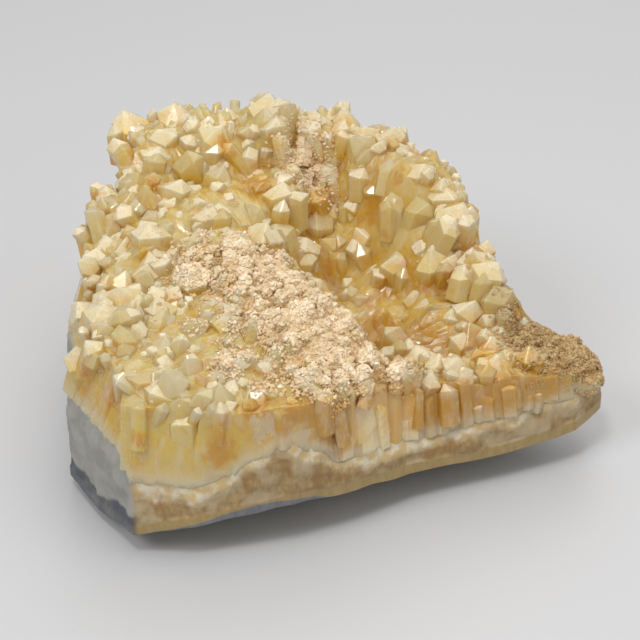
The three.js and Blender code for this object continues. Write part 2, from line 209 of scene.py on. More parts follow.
# %% Levels between the given places
def level_at(levels, x, y, smoothing=LEVEL_SMOOTHING):
    """Mean of the levels' heights, each weighted by one over its squared distance, squared."""
    levels = np.asarray(levels, float)
    gap = (x[..., None] - levels[:, 0]) ** 2 + (y[..., None] - levels[:, 1]) ** 2
    weight = 1 / (gap + smoothing ** 2) ** 2
    return (weight * levels[:, 2]).sum(-1) / weight.sum(-1)


def tip_level(x, y):
    return level_at(TIP_LEVELS, x, y)


def seam_level(x, y):
    return level_at(SEAM_LEVELS, x, y)


def rim_lift(x, y):
    return level_at(RIM_LIFT, x, y, 2 * LEVEL_SMOOTHING)


def sugar_margin(x, y):
    """How far a place lies inside the nearest sugar patch, in mm; negative outside."""
    gap = np.hypot(x[..., None] - SUGAR[:, 0], y[..., None] - SUGAR[:, 1])
    return (SUGAR[:, 2] - gap).max(-1)


print("tips over the middle at", round(float(tip_level(*CENTRE)), 1), "mm")

# %% [markdown]
# No two crystals are alike, and yet each run has to make the same ones. Their
# sizes and leans come from a number of their own, turned into a fixed chance.

# %% Fixed chance
LARGE_MULTIPLE = 43758.5453


def chance(n):
    """A fixed number from 0 to 1 for each n: the fraction of a large multiple of a sine."""
    s = np.sin(np.asarray(n, float) * 127.1 + 311.7) * LARGE_MULTIPLE
    return s - np.floor(s)


def between(low, high, n):
    return low + (high - low) * chance(n)


def either_way(n):
    return 2 * chance(n) - 1


print("first chances:", np.round(chance(np.arange(4)), 2))

# %% [markdown]
# The outline is a polygon. Two helpers are needed along it: places at even
# steps, with the direction that points out, and for any place its distance
# from the outline.

# %% Along the outline
NEXT = np.roll(OUTLINE, -1, axis=0)
SIDE_LENGTH = np.hypot(*(NEXT - OUTLINE).T)
SIDE_OUT = np.stack([(NEXT - OUTLINE)[:, 1], -(NEXT - OUTLINE)[:, 0]], 1) / SIDE_LENGTH[:, None]


def along_outline(step):
    """Places on each side of the polygon, at most a step apart, and the way out there."""
    places, outs = [], []
    for corner, after, length, out in zip(OUTLINE, NEXT, SIDE_LENGTH, SIDE_OUT):
        count = math.ceil(length / step)
        part = np.arange(count)[:, None] / count
        places.append(corner + (after - corner) * part)
        outs.append(np.repeat(out[None], count, 0))
    return np.vstack(places), np.vstack(outs)


def to_outline(x, y):
    """Signed distance from the outline, positive inside, and the way out at its nearest side."""
    point = np.stack([x, y], -1)[..., None, :]
    side = NEXT - OUTLINE
    part = np.clip(((point - OUTLINE) * side).sum(-1) / SIDE_LENGTH ** 2, 0, 1)
    gap = np.linalg.norm(point - (OUTLINE + side * part[..., None]), axis=-1)
    nearest = gap.argmin(-1)
    crosses = (OUTLINE[:, 1] > point[..., 1]) != (NEXT[:, 1] > point[..., 1])
    side_rise = np.where(side[:, 1] == 0, 1, side[:, 1])
    reach = side[:, 0] * (point[..., 1] - OUTLINE[:, 1]) / side_rise + OUTLINE[:, 0]
    inside = (crosses & (point[..., 0] < reach)).sum(-1) % 2 == 1
    distance = np.take_along_axis(gap, nearest[..., None], -1)[..., 0]
    return np.where(inside, distance, -distance), SIDE_OUT[nearest]


def part_way(edge, fraction):
    """Places on the lines from the middle to the edge, at a fraction of the way out."""
    return CENTRE + (edge - CENTRE) * fraction


print("outline length in mm:", round(float(SIDE_LENGTH.sum()), 1))

# %% [markdown]
# Natural surfaces need noise in three dimensions. This one gives each corner
# of a cubic grid a fixed random value and blends between the corners; octaves
# of it, each half as large and twice as fine, add up to a rocky surface.

# %% Noise
def lattice_value(corner):
    """A fixed random value from -1 to 1 for each whole-number corner."""
    h = np.sin(corner @ np.array([127.1, 311.7, 74.7])) * LARGE_MULTIPLE
    return 2 * (h - np.floor(h)) - 1


def noise(points, size, octaves=4):
    """Sum of value noise over octaves, about -1 to 1; size is the largest bump in mm."""
    total = np.zeros(len(points))
    for octave in range(octaves):
        p = points / size * 2 ** octave + 17.3 * octave
        base = np.floor(p)
        f = p - base
        f = f * f * (3 - 2 * f)
        value = 0
        for step in np.ndindex(2, 2, 2):
            wx, wy, wz = (f[:, k] if d else 1 - f[:, k] for k, d in enumerate(step))
            value = value + lattice_value(base + step) * wx * wy * wz
        total += value * 0.5 ** octave
    return total


# %% [markdown]
# ## Quartz points
#
# Each point is a six-sided prism with a six-faced tip a little off its axis
# and shoulders of uneven height, as quartz grows. All points are worked out as
# one array: a row per point, a column per corner.

# %% Points as arrays
TIP_STEEPNESS = (0.5, 1.05)
FLATTENING = (0.7, 1)
SHOULDER_DROP = (0.5, 1.7)
PEAK_OFFSET = 0.28


def turned_to(axis):
    """Matrices that turn the local Z axis to each axis by the shortest way."""
    ax, ay, az = axis.T
    return np.stack([
        np.stack([1 - ax * ax / (1 + az), -ax * ay / (1 + az), ax], -1),
        np.stack([-ax * ay / (1 + az), 1 - ay * ay / (1 + az), ay], -1),
        np.stack([-ax, -ay, az], -1)], 1)


def quartz_points(foot, tip, radius, seed, sides):
    """Corners of every point, as an array of points by corners by 3.

    A ring of corners at the foot, the same ring at the shoulders, and the peak,
    turned so that the local Z axis runs from foot to tip."""
    axis = tip - foot
    length = np.linalg.norm(axis, axis=1)
    pyramid = radius * between(*TIP_STEEPNESS, seed)
    narrow = between(*FLATTENING, seed + 1)
    k = np.arange(sides)
    angle = chance(seed + 2)[:, None] * np.pi + k * 2 * np.pi / sides
    shoulder = length[:, None] - pyramid[:, None] * between(*SHOULDER_DROP, seed[:, None] + 3 + k)
    shoulder = np.maximum(shoulder, 0.3 * length[:, None])
    ring = np.stack([radius[:, None] * np.cos(angle), (narrow * radius)[:, None] * np.sin(angle)], -1)
    foot_ring = np.concatenate([ring, np.zeros(ring.shape[:2] + (1,))], -1)
    shoulder_ring = np.concatenate([ring, shoulder[..., None]], -1)
    off = PEAK_OFFSET * radius
    peak = np.stack([off * either_way(seed + 9), off * either_way(seed + 10), length], -1)[:, None]
    local = np.concatenate([foot_ring, shoulder_ring, peak], 1)
    return np.einsum("nij,nkj->nki", turned_to(axis / length[:, None]), local) + foot[:, None]


def point_faces(sides):
    """Faces of one point: its foot, its sides and its tip."""
    faces = [tuple(range(sides - 1, -1, -1))]
    for k in range(sides):
        after = (k + 1) % sides
        faces.append((k, after, sides + after, sides + k))
        faces.append((sides + k, sides + after, 2 * sides))
    return faces


# %% [markdown]
# Most points stand on a honeycomb over the whole piece, each moved a little,
# so that they are evenly spread and yet in no rows. Every place has a seed of
# its own, which all its fixed chances come from.

# %% Places for points
HALF_WIDTH, HALF_DEPTH = 58, 52
STRAYING = 0.3


def chosen(keep, *parts):
    """The rows to keep, of several arrays."""
    return tuple(part[keep] for part in parts)


def honeycomb(spacing, first_seed):
    """Places inside the outline on a honeycomb, each moved by a share of the spacing, and seeds."""
    row_step = spacing * math.sqrt(3) / 2
    rows, columns = math.ceil(HALF_DEPTH / row_step), math.ceil(HALF_WIDTH / spacing)
    row, column = np.mgrid[-rows:rows + 1, -columns:columns + 1]
    seed = first_seed + 20 * ((row + rows) * (2 * columns + 1) + column + columns)
    x = (column + 0.5 * (row & 1) + STRAYING * either_way(seed)) * spacing
    y = row * row_step + STRAYING * spacing * either_way(seed + 1)
    return chosen(to_outline(x, y)[0] > 0, x, y, seed.astype(float))


def tips_at(x, y, rise):
    """Tips over the places, each by a rise of its own above the level of the tips."""
    return np.stack([x, y, tip_level(x, y) + rise], -1)


def foot_below(tip, lean, length):
    """Feet that lie a height below their tips, and aside by the lean for each mm of it."""
    length = np.broadcast_to(length, len(tip))
    return tip - np.c_[lean * length[:, None], length]


print("places 8 mm apart:", len(honeycomb(8.0, 0)[0]))

# %% [markdown]
# The points stand in families. The large ones have places of their own: they
# are the ones that catch the eye, along the left end, the back and the foot of
# the right mass. In some places the crystals are fused into one golden mass,
# where only a few tips stand out.

# %% Large points
LARGE_POINTS = [
    # tip x, y, z, radius, foot's offset in x and y
    (-40.5, -6.0, 41.5, 4.4, 4, 2), (-50.5, -13.5, 34.0, 4.0, 5, 2), (-47.5, -2.0, 37.0, 3.8, 6, 0),
    (-30.5, 7.5, 45.5, 4.2, 1, -1), (-18.0, 10.0, 46.5, 3.6, -1, -1), (-8.0, 4.0, 43.5, 3.8, -2, 1),
    (-26.5, 41.5, 53.0, 4.0, 2, -4), (1.5, 34.0, 56.0, 4.2, 0, -3), (-1.5, 13.5, 46.5, 3.8, -2, 1),
    (30.5, -4.5, 46.0, 4.8, -4, 2), (34.0, -15.0, 38.5, 4.2, -5, 2), (24.0, -8.5, 39.5, 3.8, -1, 2),
    (17.5, -2.5, 35.5, 3.6, 0, 2), (20.0, -14.0, 31.0, 3.4, 0, 1), (27.5, -18.0, 32.0, 3.6, -1, 2),
    (8.5, -35.0, 33.5, 3.8, 0, 2), (19.5, -33.0, 30.0, 3.4, 0, 2), (27.5, -33.0, 28.5, 3.4, 0, 2),
    (36.0, -31.0, 27.5, 3.4, 0, 2)]
POINT_LENGTH = 16.0
POINT_RISE = (-2.2, 2.0)
WALL_COVER = 3.0
FUSED = np.array([
    # x, y and radius of places where the crystals are fused
    [20, 4, 8], [16, -4, 6], [22, -13, 6], [11, -9, 5]])


def fused(x, y):
    """1 where the crystals are grown into one mass, 0 elsewhere."""
    gap = np.hypot(x[..., None] - FUSED[:, 0], y[..., None] - FUSED[:, 1]) / FUSED[:, 2]
    return np.clip(1.5 - gap, 0, 1).max(-1)


def tucked_in(foot, radius):
    """Feet that would come within 3 mm of the broken side, moved inwards."""
    distance, out = to_outline(foot[:, 0], foot[:, 1])
    short = np.maximum(0, radius + WALL_COVER - distance)
    return foot - np.c_[short[:, None] * out, np.zeros(len(foot))]


def large_points():
    """Foot, tip, radius and seed of each large point, as every family has them."""
    given = np.array(LARGE_POINTS)
    tip = given[:, :3]
    foot = tip + np.c_[given[:, 4:], np.full(len(given), -POINT_LENGTH)]
    return tucked_in(foot, given[:, 3]), tip, given[:, 3], 100.0 + 20 * np.arange(len(given))


large = large_points()
print("large points:", len(large[0]))

# %% [markdown]
# The main points lean the way the crust falls, and out near the broken edge,
# as crystals fan out where nothing stands in their way.

# %% Main points
MAIN_SPACING = 8.0
MAIN_RADIUS = (2.7, 4.1)
STEEPEST = 1.2
FAN_WIDTH = 16


def fall_at(x, y):
    """How the tips' level falls in x and in y, in mm per mm, at most 1.2 either way."""
    level = tip_level(x, y)
    fall = np.stack([level - tip_level(x + 1, y), level - tip_level(x, y + 1)], -1)
    return np.clip(fall, -STEEPEST, STEEPEST)


def stray(seed):
    """A pair from -1 to 1 for each seed."""
    return np.stack([either_way(seed + 3), either_way(seed + 4)], -1)


def fanned(x, y, seed, fan, follow, straying):
    """The sum of three leans: out within 16 mm of the edge, down the fall, and astray."""
    distance, out = to_outline(x, y)
    fan = fan * np.clip(1 - distance / FAN_WIDTH, 0, 1)
    return fan[:, None] * out + follow * fall_at(x, y) + straying * stray(seed)


def main_points():
    """Points outside the sugar patches, none nearer the edge than its radius and 2 mm."""
    x, y, seed = honeycomb(MAIN_SPACING, 1000)
    x, y, seed = chosen(sugar_margin(x, y) <= 0, x, y, seed)
    tip = tips_at(x, y, between(*POINT_RISE, seed + 2))
    length = np.minimum(POINT_LENGTH, tip_level(x, y) - seam_level(x, y) - 2)
    radius = between(*MAIN_RADIUS, seed + 5)
    lean = fanned(x, y, seed, fan=0.45, follow=0.1, straying=0.35)
    foot = tucked_in(foot_below(tip, lean, length), radius)
    return chosen(to_outline(x, y)[0] > radius + 2, foot, tip, radius, seed + 6)


# %% [markdown]
# The broken side leans in a little and is rugged, with ridges that run
# upwards along the crystals. One function gives its place at each height, and
# the solid crust, the wall below it and the columns all follow it. Columns
# stand side by side along the edge.

# %% The broken side
COLUMN_SPACING = 7.5
COLUMN_RADIUS = (3.5, 4.6)
FACE_INSET = [[-46, -36, 0.5], [-36, -41, 0.5], [-24, -43, 0.6], [-14, -44, 0.9], [-4, -42, 1.3],
              [8, -38, 2.0], [28, -37, 1.8], [44, -36, 1.2], [51, -30, 1.2], [39, -10, 2.0], [30, 25, 2.2],
              [0, 44, 2.2], [-35, 35, 2.0], [-48, 8, 1.8], [-53, -12, 1.2], [-50, -24, 0.7]]


def face_inset(place):
    """How far the face of the crystals stands back from the outline, in mm."""
    return level_at(FACE_INSET, *place.T)


def batter(out):
    """How far a column leans in for each mm of height, more on the left end."""
    return 0.14 + 0.2 * np.maximum(0, -out[:, 0])


def sideways(out):
    """The way along the edge."""
    return np.stack([-out[:, 1], out[:, 0]], -1)


def rugged(where):
    """Relief of a broken side in mm, with ridges that run upwards."""
    return 0.5 * noise(where, 5, 3) + 0.35 * noise(where * [1, 1, 0.3], 1.8, 3)


def broken_side(edge, out, level, proud=0.0):
    """Where the broken side of the crystals stands at each height, seen from above."""
    inwards = (CENTRE - edge) / np.linalg.norm(CENTRE - edge, axis=1)[:, None]
    rise = np.maximum(0, level - seam_level(*edge.T))
    inset = face_inset(edge) + batter(out) * rise - rugged(np.c_[edge, level]) - proud
    return edge + inwards * inset[:, None]


def edge_columns():
    """Columns from the seam to the tips' level, each nearly its radius inside the edge."""
    place, out = along_outline(COLUMN_SPACING)
    seed = 40000.0 + 20 * np.arange(len(place))
    radius = between(*COLUMN_RADIUS, seed + 2)
    inset = (0.9 * radius + 0.6 * chance(seed + 3))[:, None]
    base = place - inset * out + 1.2 * either_way(seed)[:, None] * sideways(out)
    level = tip_level(*base.T) + between(*POINT_RISE, seed + 1) - 1
    foot = np.c_[base, seam_level(*base.T) - 1]
    tip = np.c_[base - (batter(out) * (level - foot[:, 2]))[:, None] * out, level]
    return foot, tip, radius, seed + 4


# %% [markdown]
# The ridge's sugary crust is coarse under its grains: lumps of a few
# millimetres, with crumbs on and between them. Five-sided blocks give both,
# because their faces don't line up as a six-sided point's do.

# %% Lumps and crumbs under the sugar
def sugar_blocks(spacing, first_seed, margin, from_edge, rise, size, length, lean):
    """Short points with a margin inside the sugar patches, each leaning its own way."""
    x, y, seed = honeycomb(spacing, first_seed)
    keep = (sugar_margin(x, y) > margin) & (to_outline(x, y)[0] > from_edge)
    x, y, seed = chosen(keep, x, y, seed)
    tip = tips_at(x, y, between(*rise, seed + 2))
    return foot_below(tip, lean * stray(seed), length), tip, between(*size, seed + 5), seed + 6


# %% [markdown]
# Smaller crystals fill what the others leave. Young points stand in the
# clefts, slender columns stand side by side in the broken face, and twins grow
# against the larger points, nearly parallel and a little lower.

# %% Young points, slender columns and twins
def young_points(spacing, first_seed, size, depth):
    """Small points between the others, their tips a little below the level of the large tips."""
    x, y, seed = honeycomb(spacing, first_seed)
    keep = (sugar_margin(x, y) < 1) & (to_outline(x, y)[0] > 2.2) & (fused(x, y) < 0.6)
    x, y, seed = chosen(keep, x, y, seed)
    tip = tips_at(x, y, -between(*depth, seed + 2))
    radius = between(*size, seed + 5)
    lean = fanned(x, y, seed, fan=0.5, follow=0.3, straying=0.65)
    return tucked_in(foot_below(tip, lean, 7.0), radius), tip, radius, seed + 6


def slender_columns(step, first_seed, size, inset, drop):
    """Thin columns side by side in the broken face, each ending at its own height."""
    place, out = along_outline(step)
    seed = first_seed + 20.0 * np.arange(len(place))
    place, out, seed = chosen(face_inset(place) > 0.95, place, out, seed)
    radius = between(*size, seed + 2)
    buried = 1.5 * np.clip(1.9 - face_inset(place), 0, 1.4)
    base = place - (0.92 * radius + between(*inset, seed + 3) + buried)[:, None] * out
    foot = np.c_[base, seam_level(*base.T) - 1]
    room = tip_level(*base.T) - foot[:, 2]
    level = foot[:, 2] + np.maximum(room * (1 - between(*drop, seed + 1)), 5)
    lean = 0.1 * either_way(seed + 7)[:, None] * sideways(out) - batter(out)[:, None] * out
    tip = np.c_[base + lean * (level - foot[:, 2])[:, None], level]
    return foot, tip, radius, seed + 8


def side_twins(family, number, first_seed, size, drop):
    """Thinner crystals grown against a family's points, nearly parallel and a little lower."""
    foot, tip, radius = (np.repeat(part, number, 0) for part in family[:3])
    seed = first_seed + 20.0 * np.arange(len(tip))
    axis = tip - foot
    length = np.linalg.norm(axis, axis=1)[:, None]
    axis = axis / length + 0.12 * np.stack([either_way(seed), either_way(seed + 1), 0 * seed], -1)
    angle = 2 * np.pi * chance(seed + 2)
    aside = (radius * between(0.55, 0.95, seed + 3))[:, None]
    side = np.stack([np.cos(angle), np.sin(angle), 0 * angle], -1) * aside
    twin_tip = tip + side - axis * between(*drop, seed + 4)[:, None]
    twin_foot = twin_tip - axis * np.minimum(0.7 * length, 9)
    twin_radius = radius * between(*size, seed + 5)
    room = 0.8 * twin_radius + np.clip(3 - 2 * face_inset(twin_tip[:, :2]), 0, 2)
    return chosen(to_outline(*twin_tip[:, :2].T)[0] > room, twin_foot, twin_tip, twin_radius, seed + 6)


# %% [markdown]
# All families come together in one table, each with its number of sides.

# %% All families
def clear_of_large(family):
    """Only the points whose tips stand clear of the large ones' tips."""
    tip, radius = family[1:3]
    gap = np.linalg.norm(tip[:, None] - large[1], axis=-1)
    return chosen((gap > 0.65 * (radius[:, None] + large[2])).all(1), *family)


main = clear_of_large(main_points())
columns = edge_columns()
lumps = sugar_blocks(5.0, 60000, margin=0, from_edge=4, rise=(-1.0, 0.3), size=(1.8, 2.8),
                     length=9.0, lean=0.5)
crumbs = sugar_blocks(2.7, 700000, margin=-0.5, from_edge=2.5, rise=(-1.5, 0.5), size=(0.7, 1.5),
                      length=5.0, lean=0.6)
FAMILIES = {
    "large": (large, 6),
    "column": (columns, 6),
    "main": (main, 6),
    "lump": (clear_of_large(lumps), 5),
    "crumb": (crumbs, 5),
    "outer columns": (slender_columns(2.8, 300000, size=(1.6, 3.0), inset=(0.0, 0.6), drop=(0.1, 0.8)), 6),
    "inner columns": (slender_columns(3.4, 350000, size=(1.6, 3.0), inset=(1.2, 4.5), drop=(-0.02, 0.3)), 6),
    "large twins": (side_twins(large, 3, 400000, size=(0.5, 0.75), drop=(0.8, 3.5)), 6),
    "main twins": (side_twins(main, 2, 500000, size=(0.5, 0.8), drop=(0.4, 3.0)), 6),
    "column twins": (side_twins(columns, 2, 600000, size=(0.35, 0.6), drop=(0.5, 3.5)), 6),
    "young": (young_points(5.0, 90000, size=(1.8, 3.0), depth=(0.2, 2.4)), 6),
    "small": (young_points(3.8, 200000, size=(0.9, 1.8), depth=(0.8, 3.0)), 6),
}
print({name: len(family[0]) for name, (family, sides) in FAMILIES.items()})

# %% [markdown]
# Crystals that grow together are one solid, so the points are joined by
# boolean union. Blender's Manifold solver needs operands that don't cross
# themselves, so the points are dealt into layers in which none touches
# another, and each layer is one operand. A face attribute remembers which
# point each face belongs to, through the union.

# %% Deal the points into layers
owner_foot, owner_tip, owner_radius, owner_seed = (
    np.concatenate([family[part] for family, sides in FAMILIES.values()]) for part in range(4))
owner_sides = np.concatenate([np.full(len(family[0]), sides) for family, sides in FAMILIES.values()])
LAYER_GAP = 0.05


def deal_into_layers(foot, tip, radius):
    """Lists of points that don't touch: first fit, by circles that hold each point in plan."""
    middle = (foot[:, :2] + tip[:, :2]) / 2
    reach = np.hypot(*(tip - foot)[:, :2].T) / 2 + radius * 1.02
    layers = []
    for i in range(len(middle)):
        for layer in layers:
            members = np.array(layer)
            gap = np.hypot(*(middle[members] - middle[i]).T) - reach[members] - reach[i]
            if gap.min() > LAYER_GAP:
                layer.append(i)
                break
        else:
            layers.append([i])
    return layers


layers = deal_into_layers(owner_foot, owner_tip, owner_radius)
print("points:", len(owner_foot), "layers:", len(layers))

# %% [markdown]
# Both big surfaces, the solid crust under the points and the wall below it,
# are closed tubes of rings: one parameter runs along the outline, and the other
# from ring to ring.

# %% Surfaces from rings
def grid_faces(rings, count):
    """Quads between neighbouring rings of a closed tube of rings by count points."""
    ring, i = np.mgrid[0:rings - 1, 0:count]
    after = (i + 1) % count
    quads = np.stack([ring * count + i, ring * count + after,
                      (ring + 1) * count + after, (ring + 1) * count + i], -1)
    return quads.reshape(-1, 4).tolist()


def closed_rings(rings):
    """A closed mesh from rings of points: quads between them and a fan at either end."""
    rings = np.asarray(rings)
    count = rings.shape[1]
    vertices = np.vstack([rings.reshape(-1, 3), rings[0].mean(0), rings[-1].mean(0)])
    first, last = len(vertices) - 2, len(vertices) - 1
    top = (len(rings) - 1) * count
    faces = grid_faces(len(rings), count)
    faces += [(first, (i + 1) % count, i) for i in range(count)]
    faces += [(last, top + i, top + (i + 1) % count) for i in range(count)]
    return vertices, faces


# %% [markdown]
# The solid crust goes from the middle of its underside out to the seam, up the
# broken side, and in over the top to the middle. It lies lower between the
# points than where they are fused or under the sugar.

# %% The solid crust
CRUST_STEP = 0.9
CRUST_RINGS = 24
CRUST_DEPTH = 2.5
SUGAR_DEPTH = 2.2


def crust_height(x, y):
    """The tips' level less the crust's depth, and at least 2.5 mm over the seam.

    The depth grows with the slope and is less where the crystals are fused."""
    slope = np.hypot(*np.moveaxis(fall_at(x, y), -1, 0))
    depth = np.where(sugar_margin(x, y) > 0, SUGAR_DEPTH, CRUST_DEPTH + 0.45 * slope - 1.7 * fused(x, y))
    bump = 1.2 * noise(np.stack([x, y, 0 * x], -1).reshape(-1, 3), 6).reshape(x.shape)
    return np.maximum(tip_level(x, y) - depth + bump, seam_level(x, y) + 2.5)


def solid_crust():
    """Rings below at the seam less 1.5 mm, up the side at bottom + part * (top - bottom),
    and in over the top at the crust's height."""
    edge, out = along_outline(CRUST_STEP)
    low = 0.9 + 0.6 * noise(np.c_[edge, 0 * edge[:, 0]], 2.5, 3)
    rings = []
    for fraction in (0.4, 0.9):
        place = part_way(edge, fraction)
        rings.append(np.c_[place, seam_level(*place.T) - 1.5])
    bottom = seam_level(*edge.T) - low
    rim = broken_side(edge, out, bottom + 16)
    top = np.maximum(crust_height(*rim.T), bottom + 3)
    for part in np.linspace(0, 1, CRUST_RINGS):
        level = bottom + (top - bottom) * part
        rings.append(np.c_[broken_side(edge, out, level, 0.08 - 0.5 * part), level])
    rim = broken_side(edge, out, top, -0.4)
    for part in np.linspace(0, 1, CRUST_RINGS)[1:-1]:
        place = rim + (CENTRE - rim) * part
        rings.append(np.c_[place, np.maximum(crust_height(*place.T), seam_level(*place.T) + 1)])
    return closed_rings(rings)


# %% [markdown]
# Real crystal edges are worn, so each layer gets a narrow bevel before the
# union. Some faces of each point are clear and some cloudy: the material slot
# goes with the face through the union.

# %% Join the crust and the points
EDGE_WIDTH = 0.14
CLEAR_SHARE = 0.45
FINISHES = 3
TINT, CLOUD, SHADE = 13, 14, 15  # added to a crystal's seed for its chances of colour


def keep_owners(thing, owners):
    """Store the owner of each face, and make room for a material for each finish."""
    thing.data.attributes.new("owner", "INT", "FACE").data.foreach_set("value", owners)
    for _ in range(FINISHES):
        thing.data.materials.append(None)


def layer_object(number, members):
    """One mesh of the points in a layer, with the owner and the finish of each face."""
    vertices, faces, owners, finish = [], [], [], []
    start = 0
    for sides in (5, 6):
        own = np.array([i for i in members if owner_sides[i] == sides], int)
        if not len(own):
            continue
        corners = quartz_points(owner_foot[own], owner_tip[own], owner_radius[own], owner_seed[own], sides)
        pattern = point_faces(sides)
        cloudy = (sides == 5) | (chance(owner_seed[own] + CLOUD) > CLEAR_SHARE) | (own < len(large[0]))
        for owner, tip_finish in zip(own.tolist(), cloudy.astype(int).tolist()):
            faces += [tuple(start + corner for corner in face) for face in pattern]
            owners += [owner] * len(pattern)
            finish += [0] + [0, tip_finish] * sides
            start += corners.shape[1]
        vertices.append(corners.reshape(-1, 3))
    thing = mesh_object(f"layer_{number}", np.vstack(vertices), faces)
    worn = thing.modifiers.new("worn edges", "BEVEL")
    worn.width = EDGE_WIDTH * MM
    worn.segments = 1
    worn.limit_method = "ANGLE"
    keep_owners(thing, owners)
    thing.data.polygons.foreach_set("material_index", finish)
    return thing


def evaluated_mesh(thing):
    """The mesh of an object with its modifiers applied."""
    graph = bpy.context.evaluated_depsgraph_get()
    return bpy.data.meshes.new_from_object(thing.evaluated_get(graph))


body = mesh_object("solid_crust", *solid_crust())
keep_owners(body, [-1] * len(body.data.polygons))
operands = [layer_object(number, members) for number, members in enumerate(layers)]
for operand in operands:
    union = body.modifiers.new("join", "BOOLEAN")
    union.operation = "UNION"
    union.solver = "MANIFOLD"
    union.object = operand
joined = evaluated_mesh(body)
for helper in [body, *operands]:
    bpy.data.objects.remove(helper)
print("joined crust:", len(joined.vertices), "vertices,", len(joined.polygons), "faces")

# %% [markdown]
# The union leaves a few bits of surface inside closed pockets. Only the one
# large piece is the crust, so the smaller pieces are dropped.

# %% Keep the one large piece
def read_array(collection, field, width=1, kind=int):
    """One field of a mesh's parts as an array, a row per part where it has a width."""
    values = np.zeros(len(collection) * width, kind)
    collection.foreach_get(field, values)
    return values.reshape(-1, width) if width > 1 else values


def piece_labels(mesh):
    """For each vertex the lowest vertex that it hangs together with, spread along edges."""
    a, b = read_array(mesh.edges, "vertices", 2).T
    label = np.arange(len(mesh.vertices))
    while True:
        low = np.minimum(label[a], label[b])
        before = label.copy()
        np.minimum.at(label, a, low)
        np.minimum.at(label, b, low)
        label = label[label]
        if (label == before).all():
            return label


labels = piece_labels(joined)
names, counts = np.unique(labels, return_counts=True)
shell = bmesh.new()
shell.from_mesh(joined)
shell.verts.ensure_lookup_table()
loose = [shell.verts[i] for i in np.flatnonzero(labels != names[counts.argmax()])]
bmesh.ops.delete(shell, geom=loose, context="VERTS")
shell.to_mesh(joined)
shell.free()
print("dropped", len(loose), "vertices of", len(names) - 1, "small pieces")

# %% [markdown]
# Colour follows growth. Some places are clear and amber, others milky, and the
# furrow is more amber than the left mass. These places are few, so a short
# table of balls gives each kind, and a place takes the nearest ball's share.

# %% Amber, clear and milky places
WINDOWS = np.array([
    # x, y, z and radius of clear amber places
    [-33, 3, 41, 2.2], [-27, 22.5, 45, 3.0], [-10, 27, 48.5, 3.0], [-6, 18, 45, 4.5], [7, 17, 39, 5.0],
    [15, -4, 28.5, 2.5], [10, -11, 23, 5.0], [24.5, -11, 32, 3.0], [17, 9, 39, 3.5], [6.5, -38.5, 25, 5.5],
    [13, -38, 22, 5.5], [-23, -41.5, 33.5, 4.0], [-15, -42.5, 33, 5.0], [-8, -42, 31, 3.0],
    [-30.5, -42.5, 24.5, 3.4], [27, -30, 24, 5.0], [35, -31, 24, 4.0], [19, -37, 21.5, 5.0],
    [28, -37, 21.5, 5.0], [37, -36, 22, 5.0]])
WHITES = np.array([
    # x, y, z and radius of milky places
    [-25.5, -31, 36, 3.0], [-19.5, -33, 35, 3.0], [-13, -36, 34.5, 3.0], [-32, -42, 33.5, 3.0],
    [-22.5, -43, 29, 3.5], [-14.5, -43.5, 26, 3.0], [-42, -39, 26, 1.5], [-48, -13, 39, 5.0],
    [-39, -10, 40, 3.5], [2, 32, 54, 4.0], [9, -34, 31, 4.0]])
AMBER = [
    # x, y and how amber the crystals are, from 0 to 1
    [-45, -20, 0.3], [-40, 0, 0.35], [-28, -8, 0.2], [-25, 10, 0.35], [-30, -30, 0.25], [-20, -40, 0.5],
    [-34, -38, 0.1], [-28, -40, 0.2], [-20, -26, 0.4], [-14, -36, 0.6], [-7, -38, 0.6], [0, -41, 0.3],
    [-30, 30, 0.5], [-10, 30, 0.45], [8, 34, 0.4], [20, 20, 0.55], [28, 5, 0.75], [30, -10, 0.75],
    [10, 15, 0.8], [12, 0, 0.95], [15, -15, 0.9], [12, -34, 1.0], [22, -30, 1.0], [40, -24, 1.0],
    [50, -28, 0.6]]
FURROW_HEAD = 10


def nearness(balls, place):
    """1 in the middle of the nearest ball, falling to 0 at 1.3 of its radius."""
    gap = np.linalg.norm(place[:, None] - balls[:, :3], axis=2) / balls[:, 3]
    return np.clip(1.3 - gap, 0, 1).max(1)


def across_ridge(place):
    """A measure in mm that grows to the right across the slanting ridge."""
    return place[:, 0] + 0.45 * place[:, 1]


def sugar_flank(place):
    """From 0 on the pale side of the ridge to 1 on its flank, where the sugar gets painted shade over its
    own tan, and up to 1.8 on the spur.
    """
    flank = np.clip((across_ridge(place) + 10.5) / 5, 0, 1) + np.clip((place[:, 0] - 30) / 6, 0, 0.8)
    return np.where(place[:, 1] > FURROW_HEAD, 0.4, flank)


print(len(WINDOWS), "clear places,", len(WHITES), "milky places")

# %% [markdown]
# Every crystal is amber in its foot, pale higher up and frosted white at its
# tip, and each has a tint of its own. The depth below the tips' level also
# drives painted shade in the clefts and a painted sheen near the top. These
# measures are kept as attributes at the corners of the faces, so that a
# material can use them and neighbours that share a vertex still differ. Faces
# under the grains get the sugar's finish.

# %% Measures of growth
def places_of(mesh):
    """The vertices' places in mm."""
    return read_array(mesh.vertices, "co", 3, float) / MM - SHIFT


def put_attribute(mesh, name, values, domain="CORNER"):
    mesh.attributes.new(name, "FLOAT", domain).data.foreach_set("value", np.asarray(values, np.float32))


def of_owner(own, kind):
    """A fixed chance of each corner's own crystal, and 0.5 on the solid crust."""
    return np.where(own < 0, 0.5, chance(owner_seed[own] + kind))


def finish_of_faces(mesh, corner, face, margin, depth):
    """0 clear; 1 cloudy, or in a sugar patch; 2 under the grains, within 6 mm of the tips' level."""
    finish = read_array(mesh.polygons, "material_index")
    finish = np.maximum(finish, np.bincount(face, margin > 0) > 0)
    covered = margin > np.where(corner[:, 1] > FURROW_HEAD, 2.0, 0.5)
    under_grains = np.bincount(face, covered & (depth < 6)) > 0
    return np.where(under_grains, 2, finish).astype(int)


